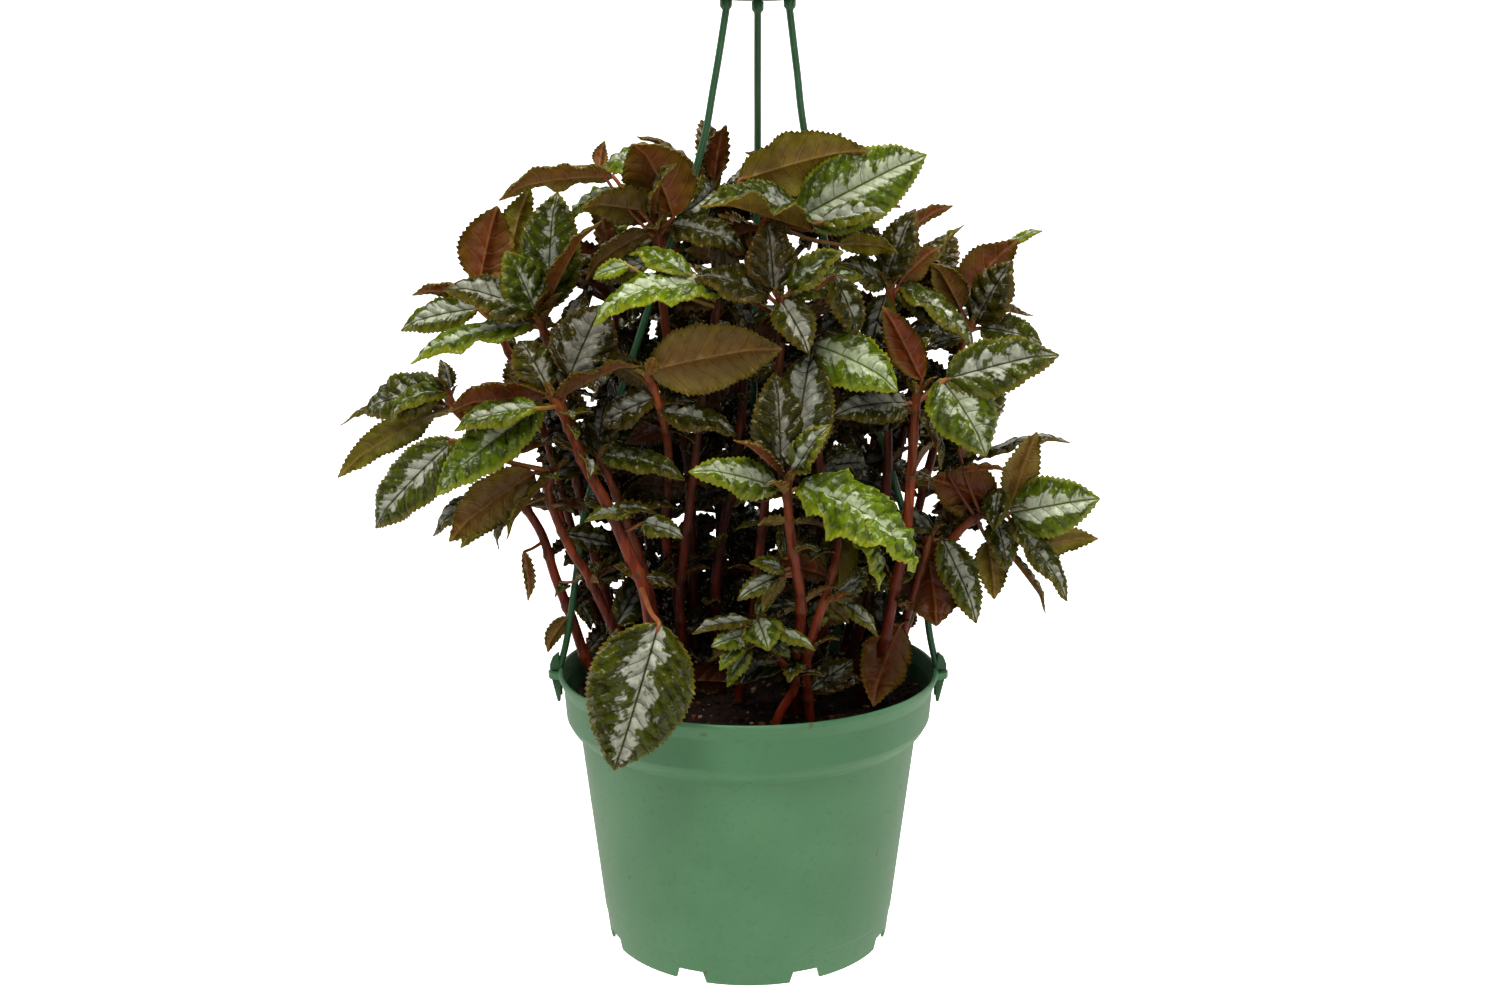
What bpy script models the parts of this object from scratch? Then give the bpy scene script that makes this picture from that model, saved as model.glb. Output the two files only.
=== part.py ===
"""A bronze pilea in a green hanging grower's pot, with its soil, its leafy stems and its three-strand hanger.

Lengths are in millimetres until a mesh is written, when they become metres. The pot's base centre is the
working origin, z is up and the viewer of the photo looks along +y. The finished object is shifted so that the
hook's bearing point is the world origin.
"""
import math
import random

import bmesh
import bpy
from mathutils import Vector
from mathutils.bvhtree import BVHTree

MM = 0.001

# Hanger
HANG_HEIGHT = 468.0  # pot's base to the hook's bearing point
HUB_X = 4.0  # the hub hangs a little right of the pot's axis
HUB_RADIUS = 17.5
HUB_STEPS = 20
ROD_SIDES = 8
STRAND_SIDES = 6
HOLE_SIDES = 8
HUB_LOW, HUB_HIGH = 402.4, 407.6
HUB_HOLE_RADIUS = 1.85
STRAND_TOP_RADIUS = 13.0  # of the circle of strands in the hub
STRAND_RADIUS = 1.75
NECK_RADIUS = 1.3
COLLAR_RADIUS = 2.5
HOOK_ROD_RADIUS = 2.5
HOOK_INNER_RADIUS = 12.0
HOOK_TIP_DROP = 9.0
HOOK_TIP_FLARE = 3.5
HOOK_JOG_LOW, HOOK_JOG_HIGH = 420.0, 444.0
GAP = 0.3  # left between pieces that touch

# Pot
POT_STEPS = 30
WALL = 1.3
RIM_RADIUS = 83.0
RIM_HEIGHT = 119.9
WALL_TOP_RADIUS, WALL_TOP = 73.8, 93.0
SEAM_RADIUS, SEAM_HEIGHT = 64.1, 12.35
FOOT_RADIUS = 62.3
FLOOR_LOW, FLOOR_HIGH = 5.6, 7.0
RIM_OUTSIDE = ((80.6, 113.0), (79.6, 100.0), (77.4, 96.0))  # radius and height down the banded rim
RIM_INSIDE = ((76.2, 97.6), (78.3, 101.0), (79.3, 113.4))  # and up its inside
LIP_ROUND, LIP_DROP, LIP_THICK = 0.4, 1.4, 1.7
MIDDLE_HOLE = 0.6
EAR_ANGLES = (-88.0, 88.0, 180.0)  # from the front, seen from above
EAR_HOLE_CENTRE = 82.8
EAR_HOLE_RADIUS = 2.15
EAR_END = 87.6
EAR_START = 80.9
EAR_WIDTH = 9.5
EAR_ROUND = 0.7  # depth of the ear's round end, as a share of half its width
EAR_FLARE = 1.5  # the ear is this much wider on each side where it leaves the rim
EAR_LOW, EAR_HIGH = 115.6, 118.4
NOTCHES = 8
NOTCH_WIDTH_LOW, NOTCH_WIDTH_HIGH = 15.0, 11.0
NOTCH_HEIGHT = 5.0
NOTCH_IN, NOTCH_OUT = 57.0, 66.0
DRAIN_RADIUS = 4.0
DRAIN_CIRCLE = 46.0

# Soil
SOIL_TOP = 106.5
SOIL_BUMP = 1.1
SOIL_SECTORS = POT_STEPS
SOIL_RINGS = 2
ROOT_DEPTH = 20.0
ROOT_GAP = 0.85
ROOT_SIDES = 6

# Plant
STEM_SIDES = 5
BLADE_THICK = 1.5  # at the midrib; it runs out to a sharp edge
PETIOLE_HALF = 1.0
CLEARANCE = 0.55  # kept around a blade when it is bent clear of its neighbours
STEM_CLEARANCE = 0.5
WIDEST = 0.40  # where along the blade it is widest
TOOTH = 0.9  # how far a tooth stands out of the edge
LONG_LEAF, MIDDLE_LEAF = 38.0, 15.0
SOCKET = 0.8
STALK = 7.0  # a petiole longer than this gets a joint where the blade starts
TOP_SINK = 2.0  # petioles of the top whorl start this far down in the stem
PAIR_STEP = 1.7
SHARP_ARCH = 21.0
WHORL_RADIUS = 7.0  # leaves of one stem may meet this near to it
SEED = 41
WELD = 0.002
SCRAP = 9  # a loose body with fewer points than this is a scrap of a union

# The photo was taken from here. A place in it is named by where its line of sight meets the upright plane
# through the pot's axis, and by its depth behind that plane.
EYE = Vector((0.8, -690.0, 327.0))

# Leafy stems that the photo shows. "stem" lists x, z, depth from the soil up, after the root's x and depth.
# Each leaf: base x, z; tip x, z; how far the tip lies behind the base; width; facing (0 shows the upper side,
# 90 turns it up, 180 shows the underside); arch over its length; fold of each half; all angles in degrees.
# A tenth value brings a leaf's base nearer than its stem.
SHOOTS = {
    "crown_centre": dict(
        root=(-13, 2), thick=2.5,
        stem=[(-14, 160, -2), (-5, 210, -6), (-2, 245, -10), (-3, 275, -12), (2, 300, -14), (10, 317, -15)],
        leaves=[
            (-4, 329, 50, 343, 14, 27, 158, 24, 6),
            (20, 313, 75, 341, 4, 33, 10, 18, 6),
            (27, 309, -19, 322, -14, 38, 74, 6, 46, 10),
            (14, 319, 26, 335, 6, 12, 30, 20, 20),
            (38, 303, 63, 301, -4, 12, 140, 25, 10),
            (31, 312, 58, 317, -6, 17, 56, 14, 14, 8),
        ],
    ),
    "crown_left": dict(
        root=(-24, 14), thick=2.6,
        stem=[(-24, 150, 12), (-25, 200, 8), (-29, 230, 4), (-34, 262, 0), (-37, 290, -4), (-38, 311, -6)],
        leaves=[
            (-56, 331, -105, 324, -4, 20, 118, 22, 18),
            (-31, 314, -47, 346, -12, 34, 150, 46, 14),
            (-37, 316, -70, 320, -12, 22, 138, 12, 16),
            (-46, 322, -88, 309, -2, 25, 62, 58, 8),
            (-42, 308, -70, 289, -8, 15, 128, 30, 12),
            (-33, 311, 0, 301, -10, 20, 45, 26, 14),
            (-40, 314, -29, 346, 10, 18, 96, 20, 20),
            (-62, 334, -60, 345, 4, 7, 150, 10, 10),
            (-37, 333, -61, 336, 4, 20, 48, 50, 12, -6),
        ],
    ),
    "left_upper": dict(
        root=(-42, 14), thick=2.6,
        stem=[(-58, 140, 8), (-68, 175, 2), (-74, 205, -2), (-79, 235, -6), (-83, 255, -9), (-88, 271, -11)],
        leaves=[
            (-88, 272, -64, 315, -8, 19, 102, 8, 32),
            (-84, 276, -80, 326, 8, 28, 14, 34, 12),
            (-90, 274, -128, 286, -10, 22, 44, 28, 10),
            (-91, 269, -145, 256, -6, 23, 66, 16, 10),
            (-89, 273, -101, 301, 8, 22, 24, 12, 12),
            (-86, 272, -79, 284, -6, 9, 120, 14, 20),
        ],
    ),
    "left_outer": dict(
        root=(-55, 22), thick=2.2,
        stem=[(-66, 140, 22), (-74, 172, 20), (-83, 208, 18), (-89, 228, 16), (-97, 247, 14),
              (-109, 274, 12)],
        leaves=[
            (-113, 287, -105, 319, 2, 25, 168, 10, 8),
            (-116, 283, -141, 283.5, 6, 10, 125, 10, 18),
            (-114, 276, -148, 268, -4, 18, 38, 26, 10),
            (-104, 277, -92, 327, 10, 22, 160, 24, 10),
        ],
    ),
    "left_tip": dict(
        root=(-60, 4), thick=2.6,
        stem=[(-70, 120, 2), (-77, 141, 0), (-84, 160, -2), (-89, 178, -4), (-97, 192, -4), (-112, 216, -4),
              (-128, 238, -4)],
        leaves=[
            (-128, 240, -154, 229, -10, 15, 58, 74, 14),
            (-129, 242, -166, 233, 8, 24, 36, 20, 10),
            (-136, 237, -175.5, 229.5, 0, 11, 76, 8, 18),
            (-134, 232, -177, 206, -2, 17, 146, 16, 12),
            (-127, 242, -130, 255, 4, 9, 30, 10, 24),
            (-129, 236, -152, 231, -6, 13, 130, 20, 20),
            (-97, 171, -95, 149, -4, 7, 150, 18, 30),
            (-79, 142, -89, 126, -6, 10, 140, 30, 20),
            (-78, 156, -85, 151, -6, 8, 60, 20, 20),
            (-75, 150, -68, 136, -12, 9, 30, 20, 26),
            (-76, 158, -60, 166, -8, 7, 60, 20, 20),
        ],
    ),
    "left_low": dict(
        root=(-48, -8), thick=2.5,
        stem=[(-57, 132, -14), (-64, 148, -16), (-70, 161, -18), (-78, 174, -20), (-86, 196, -24),
              (-83, 208, -27)],
        leaves=[
            (-126, 220, -164, 181, 6, 25, 26, 18, 10),
            (-92, 206, -131, 177, -10, 25, 146, 14, 10),
            (-100, 204, -139, 179, -2, 13, 40, 22, 14),
            (-106, 190, -125, 174, 4, 11, 146, 16, 12),
            (-84, 206, -107, 178, -16, 14, 98, 8, 24),
            (-100, 196, -111, 172, 8, 8, 60, 14, 20),
        ],
    ),
    "left_front": dict(
        root=(-38, -30), thick=3.0,
        stem=[(-44, 148, -42), (-51, 168, -44), (-60, 190, -44), (-70, 209, -42), (-79, 232, -38),
              (-83, 238, -37)],
        leaves=[
            (-83, 237, -46, 255, -8, 17, 108, 12, 26),
            (-86, 239, -128, 235, 4, 23, 122, 10, 14),
            (-87, 235, -137, 197, -6, 25, 32, 14, 12),
            (-90, 234, -127, 226, 12, 17, 50, 18, 10),
            (-76, 247, -61, 279, 14, 28, 10, 20, 8),
            (-85, 242, -97, 264, 14, 20, 20, 20, 12),
            (-80, 244, -70, 286, 26, 17, 32, 10, 16),
            (-39, 139, -60, 69, -8, 41, -4, 22, 4),
            (-50, 187, -71, 186, -8, 10, 60, 24, 16),
            (-46, 184, -28, 178, -6, 12, 36, 16, 12),
        ],
    ),
    "inner_left": dict(
        root=(-34, -14), thick=2.4,
        stem=[(-42, 148, -22), (-48, 172, -26), (-56, 194, -28), (-64, 213, -30)],
        leaves=[
            (-63, 213, -27, 205, -14, 16, 48, 22, 14),
            (-66, 215, -88, 222, 6, 15, 60, 20, 12),
            (-64, 214, -60, 240, 10, 17, 30, 20, 12),
            (-52, 190, -30, 192, 8, 12, 70, 20, 12),
        ],
    ),
    "arching": dict(
        root=(-26, -6), thick=2.3,
        stem=[(-30, 148, -12), (-24, 200, -22), (-20, 235, -28), (-16, 262, -32), (-12, 280, -34)],
        leaves=[
            (-10, 283, -68, 272, -12, 25, 60, 62, 10),
            (-24, 290, -50, 301, 12, 16, 56, 20, 12),
            (-50, 294, -66, 289, 2, 9, 30, 30, 20),
            (-12, 281, 4, 266, 10, 16, 60, 24, 12),
        ],
    ),
    "tan_leaf": dict(
        root=(-30, 2), thick=2.4,
        stem=[(-31, 150, -6), (-36, 176, -14), (-34, 212, -28), (-38, 236, -40), (-43, 248, -46)],
        leaves=[
            (-43, 250, 15, 261, -6, 30, 158, 12, 8),
            (-38, 232, -4, 224, -4, 18, 50, 20, 12),
            (-40, 238, -64, 226, 6, 18, 40, 24, 12),
        ],
    ),
    "centre_star": dict(
        root=(-4, -8), thick=2.4,
        stem=[(2, 140, -14), (5, 170, -20), (8, 200, -26), (12, 240, -34), (14, 262, -38), (14, 280, -42)],
        leaves=[
            (11, 283, 8, 313, 4, 21, 14, 16, 12),
            (17, 283, 39, 301, -6, 17, 40, 16, 22),
            (14, 279, 26, 258, -14, 18, 20, 30, 14),
            (9, 281, -24, 291, 4, 19, 44, 24, 12),
            (18, 280, 49, 292, 14, 18, 50, 24, 12),
            (36, 290, 47, 264, 6, 15, 24, 30, 12),
        ],
    ),
    "front_crown": dict(
        root=(20, -26), thick=2.7,
        stem=[(22, 122, -40), (23, 148, -52), (21, 162, -57), (18, 181, -61), (17, 194, -62), (17, 203, -62)],
        leaves=[
            (14, 208, 12, 250, 10, 23, 18, 10, 8),
            (19, 208, 27, 261, 14, 27, 6, 14, 6),
            (20, 206, 34, 227, -8, 16, 36, 12, 26),
            (15, 205, -5, 222, -8, 12, 104, 6, 30),
            (13, 199, -25, 208, -10, 19, 36, 22, 10),
            (21, 199, 76, 163, -14, 31, 44, 62, 10),
            (21, 196, 61, 155, -20, 25, 80, 50, 14),
            (16, 163, 1, 167, -6, 9, 40, 20, 14),
            (13, 160, -5, 150, -8, 10, 24, 24, 12),
            (16, 168, 14, 184, 2, 7, 20, 10, 24),
            (16, 160, 5, 145, -4, 9, 130, 16, 14),
        ],
    ),
    "green_right": dict(
        root=(27, -6), thick=2.3,
        stem=[(35, 150, -10), (33, 190, -18), (29, 225, -26), (26, 250, -32), (25, 260, -34)],
        leaves=[
            (27, 261, 65, 242, -10, 27, 30, 36, 8),
            (24, 258, 2, 240, 10, 18, 40, 22, 12),
            (30, 246, 37, 222, -4, 16, 150, 18, 10),
            (27, 262, 46, 276, 14, 16, 50, 20, 12),
        ],
    ),
    "right_whorl": dict(
        root=(50, -12), thick=2.8,
        stem=[(59, 128, -20), (63, 150, -24), (68, 176, -26), (70, 205, -28), (71, 228, -30), (72, 240, -30)],
        leaves=[
            (68, 236, 36, 232, -8, 22, 40, 22, 10),
            (74, 246, 57, 278, 0, 15, 166, 10, 8),
            (82, 246, 103, 213, -18, 29, 18, 48, 8),
            (84, 246, 132, 258, -6, 26, 24, 14, 10),
            (76, 241, 97, 236, -12, 12, 56, 16, 14),
            (73, 232, 85, 208, -8, 12, 74, 10, 24),
            (68, 234, 50, 224, 10, 16, 50, 20, 12),
            (66, 138, 54, 101, -8, 23, 158, 22, 10),
        ],
    ),
    "right_upper": dict(
        root=(40, 6), thick=2.5,
        stem=[(50, 140, 2), (57, 175, -2), (60, 210, -6), (59, 240, -9), (60, 264, -11), (60, 285, -12)],
        leaves=[
            (58, 288, 69, 318, -2, 19, 20, 14, 12),
            (62, 306, 84, 320, 8, 10, 130, 10, 16),
            (64, 285, 98, 260, -8, 19, 60, 26, 12),
            (62, 284, 92, 268, 8, 18, 40, 20, 10),
            (58, 286, 38, 296, -6, 17, 44, 22, 12),
            (64, 288, 79, 302, 8, 14, 150, 14, 12),
            (58, 282, 52, 258, 0, 16, 30, 22, 12),
        ],
    ),
    "right_top": dict(
        root=(48, 24), thick=2.4,
        stem=[(60, 140, 22), (70, 175, 20), (79, 214, 18), (86, 236, 16), (89, 256, 14), (95, 270, 12)],
        leaves=[
            (88, 278, 112, 306, -2, 25, 150, 8, 14),
            (108, 302, 123, 309.5, 2, 6, 40, 16, 20),
            (96, 270, 110, 296, -12, 22, 22, 14, 12),
            (98, 268, 125, 262, -8, 20, 36, 24, 10),
            (90, 276, 78, 296, 8, 18, 140, 14, 10),
        ],
    ),
    "right_shoot": dict(
        root=(54, 6), thick=2.5,
        stem=[(66, 130, 2), (74, 152, -2), (84, 170, -4), (93, 182, -6), (102, 188, -7), (110, 190, -8)],
        leaves=[
            (113, 188, 152, 195, -6, 27, 8, 14, 8),
            (113, 186, 141, 150, -14, 17, 40, 10, 22),
            (122, 173, 151, 178, 4, 14, 150, 16, 12),
            (112, 172, 132, 145, -4, 12, 92, 6, 28),
            (107, 186, 113, 162, -12, 15, 22, 24, 10),
            (104, 176, 108, 150, -2, 15, 160, 12, 8),
            (113, 191, 123, 224, 2, 16, 166, 8, 10),
            (107, 193, 78, 204, -2, 25, 166, 10, 8),
            (108, 199, 106, 181, -12, 13, 10, 20, 12),
            (86, 206, 114, 208, -6, 10, 100, 6, 22),
            (90, 215, 100, 222, 8, 11, 140, 10, 10),
        ],
    ),
    "right_low": dict(
        root=(58, -6), thick=2.4,
        stem=[(65, 124, -8), (70, 145, -10), (76, 166, -11), (79, 178, -12)],
        leaves=[
            (77, 178, 83, 138, -4, 35, 168, 10, 8),
            (84, 177, 101, 139, -14, 18, 22, 18, 14),
            (80, 180, 64, 190, 6, 13, 50, 20, 12),
        ],
    ),
    "front_low": dict(
        root=(12, -40), thick=2.3,
        stem=[(21, 112, -44), (12, 124, -50), (4, 136, -54)],
        leaves=[
            (1, 140, -25, 136, -4, 10, 56, 12, 16),
            (4, 141, 9, 127, -12, 17, 8, 20, 10),
            (0, 134, -16, 129, -8, 11, 20, 18, 12),
            (-1, 132, -13, 118, -8, 9, 24, 18, 14),
            (1, 128, -10, 110, -4, 9, 26, 16, 16),
            (4, 142, 14, 159, 4, 9, 40, 14, 16),
            (8, 136, 30, 128, -6, 9, 50, 18, 14),
            (8, 132, 19, 124, -2, 8, 30, 16, 14),
        ],
    ),
    "low_right": dict(
        root=(26, -34), thick=2.4,
        stem=[(25, 118, -36), (29, 136, -38), (34, 152, -40), (38, 168, -42), (39, 180, -43)],
        leaves=[
            (38, 181, 40, 154, -8, 18, 162, 12, 10),
            (38, 150, 58, 134, -6, 10, 50, 20, 14),
            (33, 150, 28, 134, -8, 12, 30, 20, 12),
            (34, 148, 44, 140, 6, 10, 150, 16, 12),
            (28, 140, 18, 150, -4, 11, 40, 16, 14),
            (40, 180, 54, 190, 4, 12, 50, 16, 14),
        ],
    ),
}

# Stems at the back and inside, which the photo hides: the place of the top, and how long its leaves are.
HIDDEN_TOPS = {
    "back_a": ((-62, 52, 292), 46), "back_b": ((-16, 62, 326), 50), "back_c": ((34, 58, 320), 50),
    "back_d": ((80, 50, 282), 46), "back_e": ((-100, 48, 236), 44), "back_f": ((-58, 92, 242), 48),
    "back_g": ((2, 104, 262), 52), "back_h": ((64, 90, 232), 48), "back_i": ((106, 52, 220), 44),
    "inner_a": ((-14, 34, 258), 42), "inner_b": ((38, 26, 232), 40), "inner_c": ((-52, 44, 190), 38),
}
HIDDEN_PAIRS = 3
HIDDEN_SPREAD = (16.0, 42.0, 66.0)  # how far each pair stands up from level, lowest first
HIDDEN_LENGTH = (1.0, 0.92, 0.6)
HIDDEN_STEP = 9.0  # between pairs along the stem
HIDDEN_THICK = 2.2
HIDDEN_TEETH = (2, 2, 1)


def sight(x, z, depth):
    """The point at a depth that the photo shows at x, z of the upright plane."""
    k = (depth - EYE.y) / -EYE.y
    return Vector((EYE.x + (x - EYE.x) * k, depth, EYE.z + (z - EYE.z) * k))


def towards_eye(point):
    """The direction from a point to where the photo was taken."""
    return (EYE - point).normalized()


def clear_scene():
    for ob in list(bpy.data.objects):
        bpy.data.objects.remove(ob, do_unlink=True)


def material(name, colour, roughness=0.5):
    m = bpy.data.materials.new(name)
    m.use_nodes = True
    shader = next(n for n in m.node_tree.nodes if n.type == "BSDF_PRINCIPLED")
    shader.inputs["Base Color"].default_value = (*colour, 1.0)
    shader.inputs["Roughness"].default_value = roughness
    return m


def collection(name):
    made = bpy.data.collections.new(name)
    bpy.context.scene.collection.children.link(made)
    return made


def add_mesh(name, points, faces, mat=None, home=None):
    """A mesh object from points in millimetres, written in metres from the hook's bearing point."""
    shift = Vector((HUB_X, 0.0, HANG_HEIGHT))
    mesh = bpy.data.meshes.new(name)
    mesh.from_pydata([(Vector(p) - shift) * MM for p in points], [], faces)
    mesh.update()
    ob = bpy.data.objects.new(name, mesh)
    (home or bpy.context.scene.collection).objects.link(ob)
    if mat:
        mesh.materials.append(mat)
    return ob


def prism(outline, low, high):
    """Points and faces of an upright prism over a level outline that runs anticlockwise."""
    n = len(outline)
    points = [(x, y, low) for x, y in outline] + [(x, y, high) for x, y in outline]
    faces = [tuple(reversed(range(n))), tuple(range(n, 2 * n))]
    faces += [(i, (i + 1) % n, n + (i + 1) % n, n + i) for i in range(n)]
    return points, faces


def tube(path, radii, sides, start=0.0):
    """Points and faces of a capped tube that keeps its facets in line along a bent path."""
    points, faces = [], []
    across = Vector((0, 1, 0))
    for i, here in enumerate(path):
        before, after = path[max(i - 1, 0)], path[min(i + 1, len(path) - 1)]
        along = (after - before).normalized()
        across = (across - along * across.dot(along)).normalized()
        other = along.cross(across)
        for k in range(sides):
            turn = start + math.tau * k / sides
            points.append(here + (across * math.cos(turn) + other * math.sin(turn)) * radii[i])
    for i in range(len(path) - 1):
        for k in range(sides):
            a, b = i * sides + k, i * sides + (k + 1) % sides
            faces.append((a, b, b + sides, a + sides))
    last = (len(path) - 1) * sides
    faces.append(tuple(reversed(range(sides))))
    faces.append(tuple(range(last, last + sides)))
    return points, faces


def turned(name, profile, steps, mat):
    """A shape turned about z from a closed profile of radius and height, listed down its outer side."""
    count = len(profile)
    ob = add_mesh(name, [(HUB_X + r, 0, z) for r, z in profile], [], mat)
    ob.location.x = -HUB_X * MM
    bm = bmesh.new()
    bm.from_mesh(ob.data)
    bm.verts.ensure_lookup_table()
    for i in range(count):
        bm.edges.new((bm.verts[i], bm.verts[(i + 1) % count]))
    bm.to_mesh(ob.data)
    bm.free()
    screw = ob.modifiers.new("turn", "SCREW")
    screw.axis = "Z"
    screw.angle = math.tau
    screw.steps = screw.render_steps = steps
    screw.use_merge_vertices = True
    screw.merge_threshold = 0.00001
    return ob


def boolean(ob, other, operation, solver="EXACT"):
    """Adds a Boolean with an object or with all the objects of a collection."""
    mod = ob.modifiers.new(operation.lower(), "BOOLEAN")
    mod.operation = operation
    mod.solver = solver
    if isinstance(other, bpy.types.Collection):
        mod.operand_type = "COLLECTION"
        mod.collection = other
    else:
        mod.object = other


def hide_cutter(ob):
    ob.hide_render = True
    ob.display_type = "WIRE"


def settle(ob):
    """Applies an object's modifiers."""
    graph = bpy.context.evaluated_depsgraph_get()
    mesh = bpy.data.meshes.new_from_object(ob.evaluated_get(graph))
    ob.modifiers.clear()
    old = ob.data
    ob.data = mesh
    bpy.data.meshes.remove(old)


def clear_collection(home):
    """Removes a collection with its objects, once what they cut or joined is applied."""
    for ob in list(home.objects):
        bpy.data.objects.remove(ob, do_unlink=True)
    bpy.data.collections.remove(home)


# Pot, soil and hanger

def ear_place(angle, radius):
    """A level point at a radius, the angle taken from the front."""
    return Vector((math.sin(math.radians(angle)) * radius, -math.cos(math.radians(angle)) * radius, 0))


def wall_radius(z):
    """The pot's outer radius on its plain wall."""
    k = (z - SEAM_HEIGHT) / (WALL_TOP - SEAM_HEIGHT)
    return SEAM_RADIUS + (WALL_TOP_RADIUS - SEAM_RADIUS) * k


def pot_profile():
    """The pot's section, radius and height, down the outside and up the inside."""
    outer = [
        (RIM_RADIUS - LIP_ROUND, RIM_HEIGHT), (RIM_RADIUS, RIM_HEIGHT - LIP_DROP), *RIM_OUTSIDE,
        (WALL_TOP_RADIUS, WALL_TOP), (SEAM_RADIUS + 0.1, SEAM_HEIGHT), (SEAM_RADIUS - 0.3, SEAM_HEIGHT - 0.5),
        (FOOT_RADIUS, 0.0),
    ]
    inner = [
        (FOOT_RADIUS - WALL, 0.0), (FOOT_RADIUS - WALL + 0.5, FLOOR_LOW), (MIDDLE_HOLE, FLOOR_LOW),
        (MIDDLE_HOLE, FLOOR_HIGH), (wall_radius(FLOOR_HIGH) - WALL, FLOOR_HIGH),
        (WALL_TOP_RADIUS - WALL, WALL_TOP), *RIM_INSIDE, (RIM_RADIUS - LIP_THICK, RIM_HEIGHT),
    ]
    return outer + inner


def ear_prism(angle):
    """An ear: a flat tab with a round end, level under the rim's top."""
    half = EAR_WIDTH / 2
    out = ear_place(angle, 1.0)
    side = Vector((-out.y, out.x, 0))
    flat = EAR_END - half * EAR_ROUND
    outline = [(EAR_START, -half - EAR_FLARE), (flat, -half)]
    outline += [(flat + half * EAR_ROUND * math.sin(math.pi * k / 4), -half * math.cos(math.pi * k / 4))
                for k in (1, 2, 3)]
    outline += [(flat, half), (EAR_START, half + EAR_FLARE)]
    places = [out * r + side * s for r, s in outline]
    return prism([(p.x, p.y) for p in places], EAR_LOW, EAR_HIGH)


def make_pot(mat, cutters):
    pot = turned("pot", pot_profile(), POT_STEPS, mat)
    ears = collection("ears")
    for i, angle in enumerate(EAR_ANGLES):
        hide_cutter(add_mesh(f"ear_{i}", *ear_prism(angle), home=ears))
        hole = ear_place(angle, EAR_HOLE_CENTRE)
        path = [hole + Vector((0, 0, EAR_LOW - 5)), hole + Vector((0, 0, RIM_HEIGHT + 3))]
        hide_cutter(add_mesh(f"ear_hole_{i}", *tube(path, [EAR_HOLE_RADIUS] * 2, HOLE_SIDES), home=cutters))
    for i in range(NOTCHES):
        out = ear_place(360.0 * (i + 0.5) / NOTCHES, 1.0)
        side = Vector((-out.y, out.x, 0))
        points = []
        for r in (NOTCH_IN, NOTCH_OUT):
            for s, z in ((-NOTCH_WIDTH_LOW, -2.0), (NOTCH_WIDTH_LOW, -2.0), (NOTCH_WIDTH_HIGH, NOTCH_HEIGHT),
                         (-NOTCH_WIDTH_HIGH, NOTCH_HEIGHT)):
                points.append(out * r + side * s / 2 + Vector((0, 0, z)))
        faces = [(0, 1, 2, 3), (7, 6, 5, 4), (0, 4, 5, 1), (1, 5, 6, 2), (2, 6, 7, 3), (3, 7, 4, 0)]
        hide_cutter(add_mesh(f"notch_{i}", points, faces, home=cutters))
        if i % 2:
            drain = out * DRAIN_CIRCLE
            path = [drain + Vector((0, 0, FLOOR_LOW - 3)), drain + Vector((0, 0, FLOOR_HIGH + 3))]
            hide_cutter(add_mesh(f"drain_{i}", *tube(path, [DRAIN_RADIUS] * 2, HOLE_SIDES), home=cutters))
    path = [Vector((0, 0, FLOOR_LOW - 3)), Vector((0, 0, FLOOR_HIGH + 3))]
    hide_cutter(add_mesh("drain_middle", *tube(path, [DRAIN_RADIUS] * 2, HOLE_SIDES), home=cutters))
    boolean(pot, ears, "UNION")
    boolean(pot, cutters, "DIFFERENCE")
    settle(pot)
    clear_collection(ears)
    clear_collection(cutters)
    return pot


def make_soil(mat, roots, rng):
    """Potting mix with an uneven top and a plain round hole for each stem."""
    low, high = FLOOR_HIGH + GAP, SOIL_TOP
    low_radius = wall_radius(low) - WALL - GAP
    levels = [(WALL_TOP_RADIUS - WALL - GAP, WALL_TOP - GAP), (77.0, 100.6), (78.0, high - 1.5)]
    points, faces = [], []
    for r, z in [(low_radius, low)] + levels:
        points += [(r * math.cos(math.tau * k / SOIL_SECTORS), r * math.sin(math.tau * k / SOIL_SECTORS), z)
                   for k in range(SOIL_SECTORS)]
    for ring in range(1, SOIL_RINGS):
        r = levels[-1][0] * (1 - ring / SOIL_RINGS)
        for k in range(SOIL_SECTORS):
            turn = math.tau * k / SOIL_SECTORS
            points.append((r * math.cos(turn), r * math.sin(turn), high + rng.uniform(-SOIL_BUMP, SOIL_BUMP)))
    rings = len(points) // SOIL_SECTORS
    for i in range(rings - 1):
        for k in range(SOIL_SECTORS):
            a, b = i * SOIL_SECTORS + k, i * SOIL_SECTORS + (k + 1) % SOIL_SECTORS
            faces += [(a, b, b + SOIL_SECTORS), (a, b + SOIL_SECTORS, a + SOIL_SECTORS)]
    faces.append(tuple(reversed(range(SOIL_SECTORS))))
    points.append((0, 0, high))
    last = (rings - 1) * SOIL_SECTORS
    faces += [(last + k, last + (k + 1) % SOIL_SECTORS, len(points) - 1) for k in range(SOIL_SECTORS)]
    soil = add_mesh("soil", points, faces, mat)
    holes = collection("root_holes")
    turn = math.pi / ROOT_SIDES
    for i, (x, y, radius) in enumerate(roots):
        path = [Vector((x, y, SOIL_TOP - ROOT_DEPTH - GAP)), Vector((x, y, SOIL_TOP + 4))]
        hole = tube(path, [radius + ROOT_GAP] * 2, ROOT_SIDES, turn)
        hide_cutter(add_mesh(f"root_hole_{i}", *hole, home=holes))
    boolean(soil, holes, "DIFFERENCE")
    settle(soil)
    clear_collection(holes)
    return soil


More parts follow.
